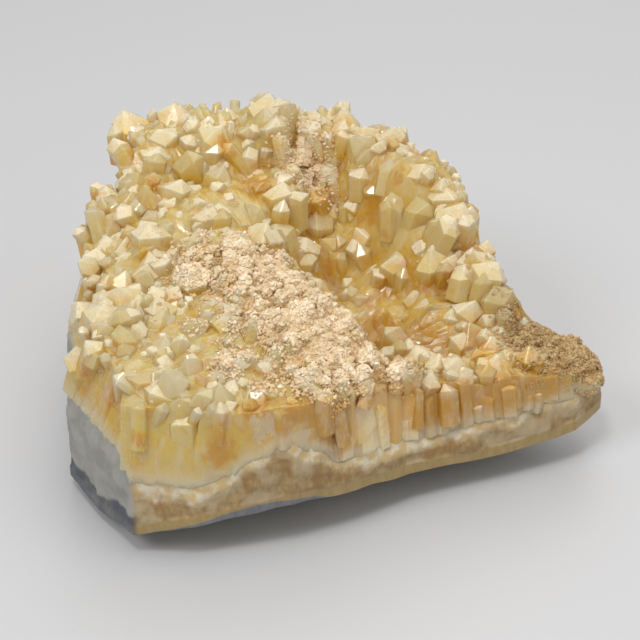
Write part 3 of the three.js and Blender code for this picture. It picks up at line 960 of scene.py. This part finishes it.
def measure_growth(mesh):
    """Keep each corner's measures of growth, and give each face its finish."""
    corner = places_of(mesh)[read_array(mesh.loops, "vertex_index")]
    face = np.repeat(np.arange(len(mesh.polygons)), read_array(mesh.polygons, "loop_total"))
    own = read_array(mesh.attributes["owner"].data, "value")[face]
    axis = owner_tip - owner_foot
    axis /= np.linalg.norm(axis, axis=1)[:, None]
    below_peak = ((owner_tip[own] - corner) * axis[own]).sum(1)
    x, y, z = corner.T
    depth, margin = tip_level(x, y) - z, sugar_margin(x, y)
    mesh.polygons.foreach_set("material_index", finish_of_faces(mesh, corner, face, margin, depth))
    measures = {
        "below_peak": np.where(own < 0, 9, below_peak),
        "below_tips": depth,
        "over_seam": z - seam_level(x, y),
        "tint": of_owner(own, TINT),
        "cloud": np.where((own >= 0) & (own < len(large[0])), 1, of_owner(own, CLOUD)),
        "shade": of_owner(own, SHADE),
        "amber": level_at(AMBER, x, y),
        "window": nearness(WINDOWS, corner),
        "white": nearness(WHITES, corner),
        "flank": sugar_flank(corner),
        "sugar": np.clip(margin / 3 + 0.5, 0, 1),
    }
    for name, values in measures.items():
        put_attribute(mesh, name, values)


measure_growth(joined)
points = bpy.data.objects.new("citrine_points", joined)
bpy.context.scene.collection.objects.link(points)
print("citrine_points:", sum(len(f.vertices) - 2 for f in joined.polygons), "triangles")

# %% [markdown]
# ## The sugary crust
#
# Fine quartz coats the ridge, the spur and part of the furrow. Its grains are
# small blocks half sunk in the surface. They could be instances of one block,
# but as one mesh each has a shape of its own. First come random places on the
# crust's own triangles, taken by area and density.

# %% Scatter places
def triangles_of(mesh):
    """Corners of every triangle in mm, its normal and its area in mm2."""
    mesh.calc_loop_triangles()
    t = places_of(mesh)[read_array(mesh.loop_triangles, "vertices", 3)]
    cross = np.cross(t[:, 1] - t[:, 0], t[:, 2] - t[:, 0])
    area = np.linalg.norm(cross, axis=1)
    return t, cross / np.maximum(area, 1e-9)[:, None], area / 2


def scatter(mesh, density, count):
    """Random places on the mesh, by area times a density that is a function of place and normal."""
    t, normal, area = triangles_of(mesh)
    weight = area * density(t.mean(1), normal)
    pick = random.choice(len(t), count, p=weight / weight.sum())
    a, b = random.random((2, count))
    a, b = np.where(a + b > 1, 1 - a, a), np.where(a + b > 1, 1 - b, b)
    first, second, third = t[pick].transpose(1, 0, 2)
    return first + a[:, None] * (second - first) + b[:, None] * (third - first), normal[pick]


def random_turns(count):
    """Random rotation matrices: two random directions made square, and their cross product."""
    a = random.normal(size=(count, 3))
    b = random.normal(size=(count, 3))
    a /= np.linalg.norm(a, axis=1)[:, None]
    b -= (a * b).sum(1)[:, None] * a
    b /= np.linalg.norm(b, axis=1)[:, None]
    return np.stack([a, b, np.cross(a, b)], 2)


# %% [markdown]
# A grain is a double pyramid of twelve faces, stretched and turned at random.
# All grains are worked out as one array: a row per grain, a column per corner.

# %% Blocks
BLOCK = np.array([[1, 0, 0], [0.5, 0.87, 0], [-0.5, 0.87, 0], [-1, 0, 0], [-0.5, -0.87, 0], [0.5, -0.87, 0],
                  [0, 0, 0.9], [0, 0, -0.9]])
BLOCK_FACES = [(k, (k + 1) % 6, 6) for k in range(6)] + [((k + 1) % 6, k, 7) for k in range(6)]


def grains(place, size):
    """A twelve-faced block at each place, turned and stretched at random."""
    count = len(place)
    stretch = random.uniform(0.7, 1.15, (count, 1, 3))
    rough = random.uniform(0.8, 1.2, (count, len(BLOCK), 1))
    corners = BLOCK * stretch * rough * size[:, None, None] / 2
    corners = np.einsum("nij,nkj->nki", random_turns(count), corners) + place[:, None]
    faces = np.array(BLOCK_FACES) + len(BLOCK) * np.arange(count)[:, None, None]
    return corners.reshape(-1, 3), faces.reshape(-1, 3).tolist()


# %% [markdown]
# The sugar is thick on its patches and thins out around them, more slowly on
# the left, where it is sprinkled over the crystals and the front ledge. It
# lies on faces that look up, and the largest points stand bare.

# %% Thick sugar and sprinkles
SPRINKLED = np.array([
    # x, y, z and radius of thin sugar beside the patches
    [-25.5, -30.5, 36, 3.0], [-19.5, -32.5, 35, 3.5], [-13, -36, 34, 3.5], [-7.5, -40, 32, 3.5],
    [9, -34, 31, 3.0]])
LARGE_GRAINS = 0.1
GRAIN_LIFT = 0.15


def below_tips(place):
    """How far places lie below the level of the tips."""
    return tip_level(place[:, 0], place[:, 1]) - place[:, 2]


def sugar_density(place, normal):
    """The product of five shares: near a patch, near the tips' level, facing up, in clumps
    and off the large points."""
    margin = sugar_margin(place[:, 0], place[:, 1])
    left = across_ridge(place) + 16 < 0
    on_patch = np.clip(margin / np.where(left, 11, 7) + 0.8, 0, 1) ** 2
    reach = np.where(place[:, 1] < -36, 4.0, 9.0)
    near_top = np.clip(1.4 - below_tips(place) / reach, 0, 1)
    looks_up = np.clip(normal[:, 2] + 0.5, 0.05, 1)
    clumps = np.clip(noise(place, 5, 2) * 1.5 + 0.8, 0.15, 1)
    bare = 1 - 0.9 * nearness(np.c_[large[1], large[2] + 0.5], place)
    thin = np.where(place[:, 1] > FURROW_HEAD, 0.4, 1)
    spread = thin * on_patch * near_top * looks_up * np.where(margin > 1, 1, clumps)
    return np.maximum(spread, 0.7 * nearness(SPRINKLED, place) * looks_up * clumps) * bare


def sprinkle_density(place, normal):
    """The product of four shares: left of the ridge or on the front ledge, in clumps,
    facing up and near the tips' level."""
    margin = sugar_margin(place[:, 0], place[:, 1])
    near = np.clip(margin / 16 + 1, 0, 1) ** 2 * (across_ridge(place) + 14 < 0)
    clumps = np.clip(noise(place, 4, 3) * 2.0 + 0.2, 0, 1)
    looks_up = np.clip(normal[:, 2], 0.02, 1)
    high = np.clip(1.3 - below_tips(place) / 5, 0, 1)
    return np.maximum(near, nearness(SPRINKLED, place)) * clumps * looks_up * high


def make_sugar(name, density, count, size):
    """Grains scattered on the crust as one mesh, with the measures that colour them."""
    place, normal = scatter(joined, density, count)
    size = random.uniform(*size, count) * np.where(random.random(count) < LARGE_GRAINS, 1.8, 1)
    thing = mesh_object(name, *grains(place + normal * GRAIN_LIFT * size[:, None], size))
    measures = {"shade": random.random(count), "below_tips": below_tips(place), "flank": sugar_flank(place)}
    for measure, values in measures.items():
        put_attribute(thing.data, measure, np.repeat(values, len(BLOCK)), "POINT")
    print(f"{name}:", len(thing.data.polygons), "triangles")
    return thing


sugar = make_sugar("sugar_crust", sugar_density, 16600, (0.36, 0.78))
sprinkles = make_sugar("sugar_sprinkles", sprinkle_density, 7000, (0.35, 0.7))

# %% [markdown]
# ## The chalcedony base
#
# The base was the wall of the geode. Its broken side shows the layers: a grey
# rim under the front left, a smooth olive band, a brown fibrous band and a
# white scalloped band under the crystals. The left end is grey and white. One
# grid follows the outline in one direction and the profile, from the middle of
# the underside to the middle of the top, in the other. Its upper edge draws in
# to meet the broken side of the crystals.

# %% The wall
UNDERSIDE = [
    # fraction of the way out, and of the rim's height
    [0.2, 0], [0.42, 0], [0.51, 0.125], [0.6, 0.25], [0.67, 0.37], [0.74, 0.49], [0.8, 0.6], [0.85, 0.7],
    [0.9, 0.8], [0.95, 0.9]]
TOPSIDE = [0.95, 0.9, 0.85, 0.4]
SKIN = 2.2
SIDE_RINGS = 84
WALL_STEP = 0.55
# Heights over the rim and depths under the seam, for the underside and the top.
OVER_RIM_BELOW, UNDER_SEAM_BELOW = -5, 99
OVER_RIM_ABOVE, UNDER_SEAM_ABOVE = 20, -3


def wall_rings():
    """Rings of the wall, and each point's measures over the rim and under the seam.

    On the underside z = lift * rim, on the side z = rim + part * (seam - rim), and
    on the top z = seam. Relief and scallops move the side in and out."""
    edge, out = along_outline(WALL_STEP)
    rim, seam = rim_lift(*edge.T), seam_level(*edge.T)
    rings, measures = [], []

    def add(fraction, height, push, over_rim, under_seam):
        rings.append(np.c_[part_way(edge, fraction) + out * np.reshape(push, (-1, 1)), height])
        measures.append([np.broadcast_to(over_rim, rim.shape), np.broadcast_to(under_seam, rim.shape)])

    for fraction, lift in UNDERSIDE:
        place = part_way(edge, fraction)
        bottom = lift * rim_lift(*place.T)
        rough = noise(np.c_[place, bottom], 4) * 0.35 * np.clip((lift - 0.05) * 4, 0, 1)
        bottom = bottom + np.maximum(rough, -bottom)
        add(fraction, bottom, 0, OVER_RIM_BELOW * (1 - fraction), UNDER_SEAM_BELOW)
    for part in np.linspace(0, 1, SIDE_RINGS):
        height = rim + (seam - rim) * part
        over, under = height - rim, seam - height
        where = np.c_[edge, height]
        broken = np.clip((over - SKIN) / 0.6, 0, 1)
        drawn_in = face_inset(edge) * np.clip(1 - under / 3.5, 0, 1) ** 1.5
        scallop = 2.2 + 1.6 * noise(where * [1, 1, 0], 5, 3) + 2.0 * np.clip((-26 - edge[:, 0]) / 8, 0, 1)
        add(1.0, height, rugged(where) * broken - drawn_in - 0.15 * broken, over, under - scallop)
    for fraction in TOPSIDE:
        add(fraction, seam_level(*part_way(edge, fraction).T), 0, OVER_RIM_ABOVE, UNDER_SEAM_ABOVE)
    over_rim, under_seam = np.concatenate(measures, 1)
    over_rim = np.r_[over_rim, OVER_RIM_BELOW, OVER_RIM_ABOVE]
    return rings, over_rim, np.r_[under_seam, UNDER_SEAM_BELOW, UNDER_SEAM_ABOVE]


def chalcedony_wall():
    """The wall as one closed mesh, with the measures that its bands follow."""
    rings, over_rim, under_white = wall_rings()
    vertices, faces = closed_rings(rings)
    x, y = vertices.T[:2]
    grey_height = 0.3 + 1.7 * np.clip(1 - np.abs(x + 24) / 15, 0, 1)
    measures = {
        "over_rim": over_rim,
        "under_white": under_white,
        "grey_rim": grey_height * np.clip((-9 - x) / 3, 0, 1) * np.clip((-30 - y) / 3, 0, 1),
        "left_end": np.clip((-46.2 - x - 0.02 * (y + 36)) / 1.2 + 0.5, 0, 1),
    }
    thing = mesh_object("chalcedony_wall", vertices, faces)
    for name, values in measures.items():
        put_attribute(thing.data, name, values, "POINT")
    thing.data.polygons.foreach_set("use_smooth", [True] * len(thing.data.polygons))
    return thing


wall = chalcedony_wall()
print("chalcedony_wall:", sum(len(f.vertices) - 2 for f in wall.data.polygons), "triangles")

# %% [markdown]
# ## Materials
#
# Colours are written as they look on a screen and turned into the linear ones
# that a shader takes.

# %% Colours
def colour(text):
    """A linear colour from a hex colour as seen on a screen."""
    srgb = np.array([int(text[i:i + 2], 16) for i in (1, 3, 5)]) / 255
    linear = np.where(srgb <= 0.04045, srgb / 12.92, ((srgb + 0.055) / 1.055) ** 2.4)
    return (*linear.tolist(), 1.0)


print("linear white of the sugar:", np.round(colour("#fbecd0"), 2))

# %% [markdown]
# A small set of helpers writes the node trees. One of them feeds the inputs of
# any node: an output is linked, and a plain number or colour is set on the
# socket itself, so a shader keeps its own plain values.

# %% Node helpers
def feed(tree, target, inputs):
    """Give a node its inputs, as pairs of a socket and an output, a value or a hex colour."""
    for socket, value in inputs:
        if isinstance(value, bpy.types.NodeSocket):
            tree.links.new(value, target.inputs[socket])
        else:
            target.inputs[socket].default_value = colour(value) if isinstance(value, str) else value


def node(tree, kind, inputs=(), **settings):
    """Add a node with its settings and inputs."""
    made = tree.nodes.new(kind)
    for name, value in settings.items():
        setattr(made, name, value)
    feed(tree, made, inputs)
    return made


def math_of(tree, operation, *values, clamp=False):
    inputs = list(enumerate(values))
    return node(tree, "ShaderNodeMath", inputs, operation=operation, use_clamp=clamp).outputs[0]


def plus(tree, a, b, clamp=False):
    return math_of(tree, "ADD", a, b, clamp=clamp)


def minus(tree, a, b):
    return math_of(tree, "SUBTRACT", a, b)


def times(tree, a, b):
    return math_of(tree, "MULTIPLY", a, b)


def largest(tree, first, *others):
    """The largest of several values, by a chain of Math nodes."""
    for other in others:
        first = math_of(tree, "MAXIMUM", first, other)
    return first


def mix(tree, factor, a, b):
    return node(tree, "ShaderNodeMix", [(0, factor), (6, a), (7, b)], data_type="RGBA").outputs[2]


def step_between(tree, value, low, high, bottom=0.0, top=1.0):
    """A smooth step from bottom to top as the value goes from low to high."""
    inputs = [(0, value), (1, low), (2, high), (3, bottom), (4, top)]
    return node(tree, "ShaderNodeMapRange", inputs, interpolation_type="SMOOTHSTEP").outputs[0]


def attribute(tree, name):
    return node(tree, "ShaderNodeAttribute", attribute_name=name).outputs["Fac"]


def object_place(tree):
    return node(tree, "ShaderNodeTexCoord").outputs["Object"]


def noise_of(tree, place, scale, detail=3.0, roughness=0.5, distortion=0.0):
    inputs = [("Vector", place), ("Scale", scale), ("Detail", detail), ("Roughness", roughness),
              ("Distortion", distortion)]
    return node(tree, "ShaderNodeTexNoise", inputs).outputs["Fac"]


def patches_of(tree, place, size_mm, *looks):
    """Noise on a place in metres, its patches about the given size in mm."""
    return noise_of(tree, place, 1000 / size_mm, *looks)


# %% [markdown]
# Effects that both minerals use are node groups: a mottle of soft patches, and
# a fine grain for the bump. A group gives out only a colour, a mask or a
# height, and each material places it with values of its own.

# %% Groups that the minerals share
def new_group(name, inputs, outputs):
    """An empty node group with named sockets, and its input and output nodes."""
    tree = bpy.data.node_groups.new(name, "ShaderNodeTree")
    for socket, kind, value in inputs:
        made = tree.interface.new_socket(socket, in_out="INPUT", socket_type=kind)
        made.default_value = value
    for socket, kind in outputs:
        tree.interface.new_socket(socket, in_out="OUTPUT", socket_type=kind)
    return tree, tree.nodes.new("NodeGroupInput").outputs, tree.nodes.new("NodeGroupOutput")


def noise_by_size(tree, size, *looks):
    """Noise on the object's own place, its size in mm an input of the group."""
    return noise_of(tree, object_place(tree), math_of(tree, "DIVIDE", 1000.0, size), *looks)


mottle, given, result = new_group(
    "mottle", [("First", "NodeSocketColor", (1, 1, 1, 1)), ("Second", "NodeSocketColor", (0, 0, 0, 1)),
               ("Size", "NodeSocketFloat", 4.0), ("Amount", "NodeSocketFloat", 1.0)],
    [("Color", "NodeSocketColor"), ("Mask", "NodeSocketFloat")])
mask = step_between(mottle, noise_by_size(mottle, given["Size"], 4.0), 0.42, 0.6)
mask = times(mottle, mask, given["Amount"])
feed(mottle, result, [("Color", mix(mottle, mask, given["First"], given["Second"])), ("Mask", mask)])

fine_grain, given, result = new_group(
    "fine_grain", [("Size", "NodeSocketFloat", 0.5), ("Height", "NodeSocketFloat", 1.0)],
    [("Height", "NodeSocketFloat")])
bumps = noise_by_size(fine_grain, given["Size"], 5.0, 0.6)
feed(fine_grain, result, [("Height", times(fine_grain, bumps, given["Height"]))])


def mottled(tree, first, second, size, amount):
    """A colour with soft patches of a second one."""
    inputs = [("First", first), ("Second", second), ("Size", size), ("Amount", amount)]
    return node(tree, "ShaderNodeGroup", inputs, node_tree=mottle).outputs["Color"]


def grain_height(tree, size, height):
    inputs = [("Size", size), ("Height", height)]
    return node(tree, "ShaderNodeGroup", inputs, node_tree=fine_grain).outputs["Height"]


def bump(tree, height, distance_mm, strength=1.0):
    """The normal of a relief of the given height."""
    inputs = [("Height", height), ("Distance", distance_mm * MM), ("Strength", strength)]
    return node(tree, "ShaderNodeBump", inputs).outputs["Normal"]


# %% [markdown]
# Citrine is clear quartz with a yellow that deepens into amber. The body's
# colour goes from pale to amber with the crystal's own tint and with depth
# below the tips, in soft patches, and most in the clear windows. The amber that
# grows with depth below the tips is partly the crystals' own colour and partly
# painted shade in the clefts between them.

# %% Golden body
AMBER_AND_SHADE_COLOURS = [(0.0, "#f9e8ba"), (0.25, "#f7de88"), (0.5, "#f4d05c"), (0.75, "#eec244"), (1.0, "#e5b036")]


def ramp_colour(tree, value, stops):
    """A colour from a ramp of positions and hex colours."""
    made = node(tree, "ShaderNodeValToRGB", [(0, value)])
    elements = made.color_ramp.elements
    while len(elements) < len(stops):
        elements.new(0.5)
    for element, (position, shade) in zip(elements, stops):
        element.position = position
        element.color = colour(shade)
    return made.outputs["Color"]


def golden_colour(tree, place, patches, window):
    """(amber + 0.4 tint) * depth + patches + spots + window, read from the ramp; depth is partly painted
    shade in the clefts.
    """
    # Painted shade: the deeper below the tips' level, the more amber, over the crystals' own amber.
    depth = plus(tree, attribute(tree, "below_tips"), times(tree, patches, 6.0))
    depth = step_between(tree, depth, 1.5, 10.0, 0.25, 1.1)
    golden = plus(tree, attribute(tree, "amber"), times(tree, attribute(tree, "tint"), 0.4))
    golden = times(tree, golden, depth)
    soft = times(tree, step_between(tree, patches, 0.5, 0.68), 0.3)
    spots = step_between(tree, patches_of(tree, place, 7.0, 2), 0.6, 0.68, 0.0, 0.6)
    for more in (soft, spots, times(tree, window, 0.55)):
        golden = plus(tree, golden, more, clamp=True)
    return ramp_colour(tree, golden, AMBER_AND_SHADE_COLOURS)


# %% [markdown]
# Frost whitens the crystals where they are milky: at their tips, along thin
# veils and upright streaks, at their foot, beside the sugar and in the milky
# places. The clear windows have less of it. Near the tips' level the crystals
# are also whitened by a painted sheen, partly frost and partly the sky's
# reflection on the upper faces painted in.

# %% Frost and painted sheen
FROST_AND_SHEEN_COLOUR = "#fae7c4"


def frost_and_sheen_mask(tree, place, upright, patches, ragged, window):
    """The largest of the kinds of frost and the painted sheen, less in the windows, or the milky places
    where larger.
    """
    reach = plus(tree, attribute(tree, "below_peak"), times(tree, patches_of(tree, place, 2.0, 5), 5.0))
    cloudy = step_between(tree, attribute(tree, "cloud"), 0.0, 0.6, 0.35, 1.0)
    tip = times(tree, step_between(tree, reach, 3.4, 7.2, 1.0, 0.0), cloudy)
    # Painted sheen: up to 0.35 whiter within a few mm of the tips' level, partly frost and partly a painted
    # reflection of the sky.
    high = plus(tree, attribute(tree, "below_tips"), times(tree, patches, 7.0))
    high = step_between(tree, high, 2.0, 5.5, 0.35, 0.0)
    veils = step_between(tree, patches_of(tree, place, 3.0, 6, 0.65, 0.4), 0.53, 0.66, 0.0, 0.55)
    streaks = step_between(tree, patches_of(tree, upright, 1.5, 4, 0.6), 0.48, 0.64, 0.0, 0.55)
    foot = minus(tree, attribute(tree, "over_seam"), times(tree, patches_of(tree, place, 3.0, 5, 0.6), 5.0))
    foot = step_between(tree, foot, -2.0, 1.2, 0.85, 0.0)
    beside_sugar = times(tree, attribute(tree, "sugar"), 0.8)
    frost_and_sheen = largest(tree, tip, high, veils, streaks, foot, beside_sugar)
    frost_and_sheen = times(tree, frost_and_sheen, minus(tree, 1.0, times(tree, window, 0.85)))
    white = step_between(tree, plus(tree, attribute(tree, "white"), ragged), 0.3, 0.7, 0.0, 0.9)
    return largest(tree, frost_and_sheen, white)


# %% [markdown]
# The faces carry faint steps of growth across them, different on each crystal,
# streaks that run upwards, and a fine grain. All are too low to be modelled.

# %% Relief of the faces
def crystal_relief(tree, upright):
    """Steps across the axis + 4 streaks + grain, as the height of a bump."""
    along, own = times(tree, attribute(tree, "below_peak"), 1.6), times(tree, attribute(tree, "tint"), 50.0)
    steps = node(tree, "ShaderNodeCombineXYZ", [(0, along), (1, own)]).outputs[0]
    growth = noise_of(tree, steps, 1.0, 2.0)
    streaks = times(tree, patches_of(tree, upright, 1.4, 6, 0.65), 4.0)
    return plus(tree, plus(tree, growth, streaks), grain_height(tree, 0.9, 1.2))


# %% [markdown]
# Clear glass alone would look grey and empty, because the piece is full of
# flaws that scatter light. So the body scatters below its surface, and a part
# of it transmits by plain transmission, IOR and absorption. A coat gives the
# wet gloss of crystal faces.

# %% Citrine
QUARTZ_IOR = 1.544
ABSORPTION_COLOUR = (1.0, 0.91, 0.45, 1)
ABSORPTION_DENSITY = 90.0


def citrine_material(name, transmission, frosting):
    """Quartz that is amber in its foot, golden above and frosted white towards its tip, with painted shade
    in the clefts and a painted sheen near the tips' level.
    """
    material, shader = new_material(name)
    tree = material.node_tree
    place = object_place(tree)
    upright = node(tree, "ShaderNodeMapping", [("Vector", place), ("Scale", (1.0, 1.0, 0.22))]).outputs[0]
    patches = patches_of(tree, place, 6)
    ragged = times(tree, minus(tree, patches_of(tree, place, 2.2, 5, 0.65), 0.5), 2.6)
    window = step_between(tree, plus(tree, attribute(tree, "window"), times(tree, ragged, 0.6)), 0.1, 0.8)
    # The frost mask also holds the painted sheen near the tips' level.
    frost_and_sheen = frost_and_sheen_mask(tree, place, upright, patches, ragged, window)
    frost_and_sheen = plus(tree, times(tree, frost_and_sheen, 0.9), frosting, clamp=True)
    feed(tree, shader, [
        ("Base Color", mix(tree, frost_and_sheen, golden_colour(tree, place, patches, window), FROST_AND_SHEEN_COLOUR)),
        ("Roughness", step_between(tree, frost_and_sheen, 0.1, 1.0, 0.07, 0.28)),
        ("IOR", QUARTZ_IOR), ("Transmission Weight", transmission),
        ("Subsurface Weight", 1.0), ("Subsurface Radius", (1.0, 0.95, 0.8)), ("Subsurface Scale", 1.8 * MM),
        ("Normal", bump(tree, crystal_relief(tree, upright), 0.15, 0.8)),
        ("Coat Weight", 0.8), ("Coat Roughness", 0.06)])
    inside = [("Color", ABSORPTION_COLOUR), ("Density", ABSORPTION_DENSITY)]
    absorption = node(tree, "ShaderNodeVolumeAbsorption", inside).outputs[0]
    feed(tree, tree.nodes["Material Output"], [("Volume", absorption)])
    return material


# %% [markdown]
# The sugary quartz is white where the grains stand free and brown on the spur.
# In its gaps it is darkened to tan as painted shade, and on the ridge's right
# flank as painted shade over the flank's own tan.

# %% Sugary quartz
def sugar_material(name):
    """White to tan by 0.75 gap + 0.35 flank + 0.25 shade, then browner over the flank and the spur. Gap and
    flank are painted shade, over the flank's own tan; shade is a random tone of each grain, and the spur's
    brown is its own colour.
    """
    material, shader = new_material(name)
    tree = material.node_tree
    flank = attribute(tree, "flank")
    # Painted shade: grains deep below the tips' level are darkened to tan.
    painted_shade_and_tone = times(tree, step_between(tree, attribute(tree, "below_tips"), 0.5, 4.2), 0.75)
    painted_shade_and_tone = plus(tree, painted_shade_and_tone, times(tree, flank, 0.35))
    painted_shade_and_tone = plus(tree, painted_shade_and_tone, times(tree, attribute(tree, "shade"), 0.25), clamp=True)
    base = mix(tree, painted_shade_and_tone, "#fbecd0", "#d1a048")
    # Painted shade on the ridge's right flank, over its own tan.
    base = mix(tree, times(tree, step_between(tree, flank, 0.2, 1.0), 0.55), base, "#c39a5c")
    base = mix(tree, times(tree, step_between(tree, flank, 1.0, 1.7), 0.6), base, "#ae946c")
    feed(tree, shader, [
        ("Base Color", mottled(tree, base, "#d2b580", 3.5, 0.5)), ("Roughness", 0.38), ("IOR", QUARTZ_IOR),
        ("Normal", bump(tree, grain_height(tree, 0.3, 1.0), 0.06))])
    return material


# %% [markdown]
# The chalcedony's bands follow the measures kept on the wall: the height over
# its rim and the depth under the seam. Fibres, mottles and ragged edges break
# the bands up.

# %% Bands of the chalcedony
def front_bands(tree, place, fibres, over_rim):
    """From the rim up: olive, then brown, with grey along the front left's rim and white on top."""
    brown = mix(tree, fibres, "#957a4c", "#b89d70")
    brown = mottled(tree, brown, "#9a7038", 3.5, 0.55)
    brown = mottled(tree, brown, "#c2b292", 4.6, 0.6)
    olive = mix(tree, fibres, "#a38a55", "#b29a68")
    front = mix(tree, step_between(tree, over_rim, 2.1, 2.5), olive, brown)
    above_grey = minus(tree, over_rim, attribute(tree, "grey_rim"))
    grey = mix(tree, fibres, "#6c6e74", "#828387")
    front = mix(tree, step_between(tree, above_grey, -0.25, 0.1, 1.0, 0.0), front, grey)
    white = mix(tree, step_between(tree, patches_of(tree, place, 2.2, 4), 0.4, 0.62), "#cdb380", "#ddd2b8")
    ragged = times(tree, patches_of(tree, place, 3.0, 6, 0.65), 5.0)
    ragged = plus(tree, attribute(tree, "under_white"), ragged)
    return mix(tree, step_between(tree, ragged, 1.4, 3.9), white, front)


def left_bands(tree, place, over_rim):
    """Dark grey below and pale grey above, with a wavy edge between them."""
    wobble = times(tree, minus(tree, patches_of(tree, place, 6, 4), 0.5), 2.4)
    bands = mix(tree, step_between(tree, plus(tree, over_rim, wobble), 4.0, 5.0), "#54575e", "#a3a19b")
    return mottled(tree, bands, "#85837c", 6.0, 0.5)


# %% [markdown]
# The rind under the rim is the geode's plain outside. The bands above it are
# waxy: a little light goes in and comes out again beside them.

# %% Chalcedony
def chalcedony_material():
    """The rind below the rim; above it the left end's bands or the front's."""
    material, shader = new_material("chalcedony")
    tree = material.node_tree
    place = object_place(tree)
    over_rim = attribute(tree, "over_rim")
    slanting = [("Vector", place), ("Rotation", (0.0, 0.7, 0.0)), ("Scale", (1.0, 1.0, 0.4))]
    fibres = patches_of(tree, node(tree, "ShaderNodeMapping", slanting).outputs[0], 1.1, 6, 0.7)
    fibres = step_between(tree, fibres, 0.3, 0.7)
    side = mix(tree, attribute(tree, "left_end"), front_bands(tree, place, fibres, over_rim),
               left_bands(tree, place, over_rim))
    rind = mix(tree, fibres, "#7d766a", "#a49a86")
    feed(tree, shader, [
        ("Base Color", mix(tree, step_between(tree, over_rim, -0.6, 0.0), rind, side)),
        ("Roughness", step_between(tree, over_rim, 1.5, 3.5, 0.32, 0.55)),
        ("Subsurface Weight", 0.35), ("Subsurface Radius", (1.0, 0.75, 0.5)), ("Subsurface Scale", 1.5 * MM),
        ("Normal", bump(tree, grain_height(tree, 0.9, 1.0), 0.15))])
    return material


# %% [markdown]
# The crystals carry three finishes, by face: clear, frosted, and sugared under
# the grains. The slots are filled in place, because clearing them would put
# every face back on the first one.

# %% Give the pieces their materials
points.data.materials[0] = citrine_material("citrine_clear", 0.4, 0.0)
points.data.materials[1] = citrine_material("citrine_frosted", 0.15, 0.05)
points.data.materials[2] = sugar_material("sugared_citrine")
for grain_piece in (sugar, sprinkles):
    grain_piece.data.materials.append(sugar_material(grain_piece.name + "_white"))
wall.data.materials.append(chalcedony_material())
print("faces of each finish:", np.bincount(read_array(points.data.polygons, "material_index")))

# %% [markdown]
# ## The pieces on the body
#
# Every piece rides on the one body. The crystals and the wall stand for the
# CAD solids, which are hidden, and the grains lie on them.

# %% Ride and replace
for piece in (points, sugar, sprinkles, wall):
    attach(piece, "root")
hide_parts("citrine_crystals")
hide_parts("chalcedony_base")
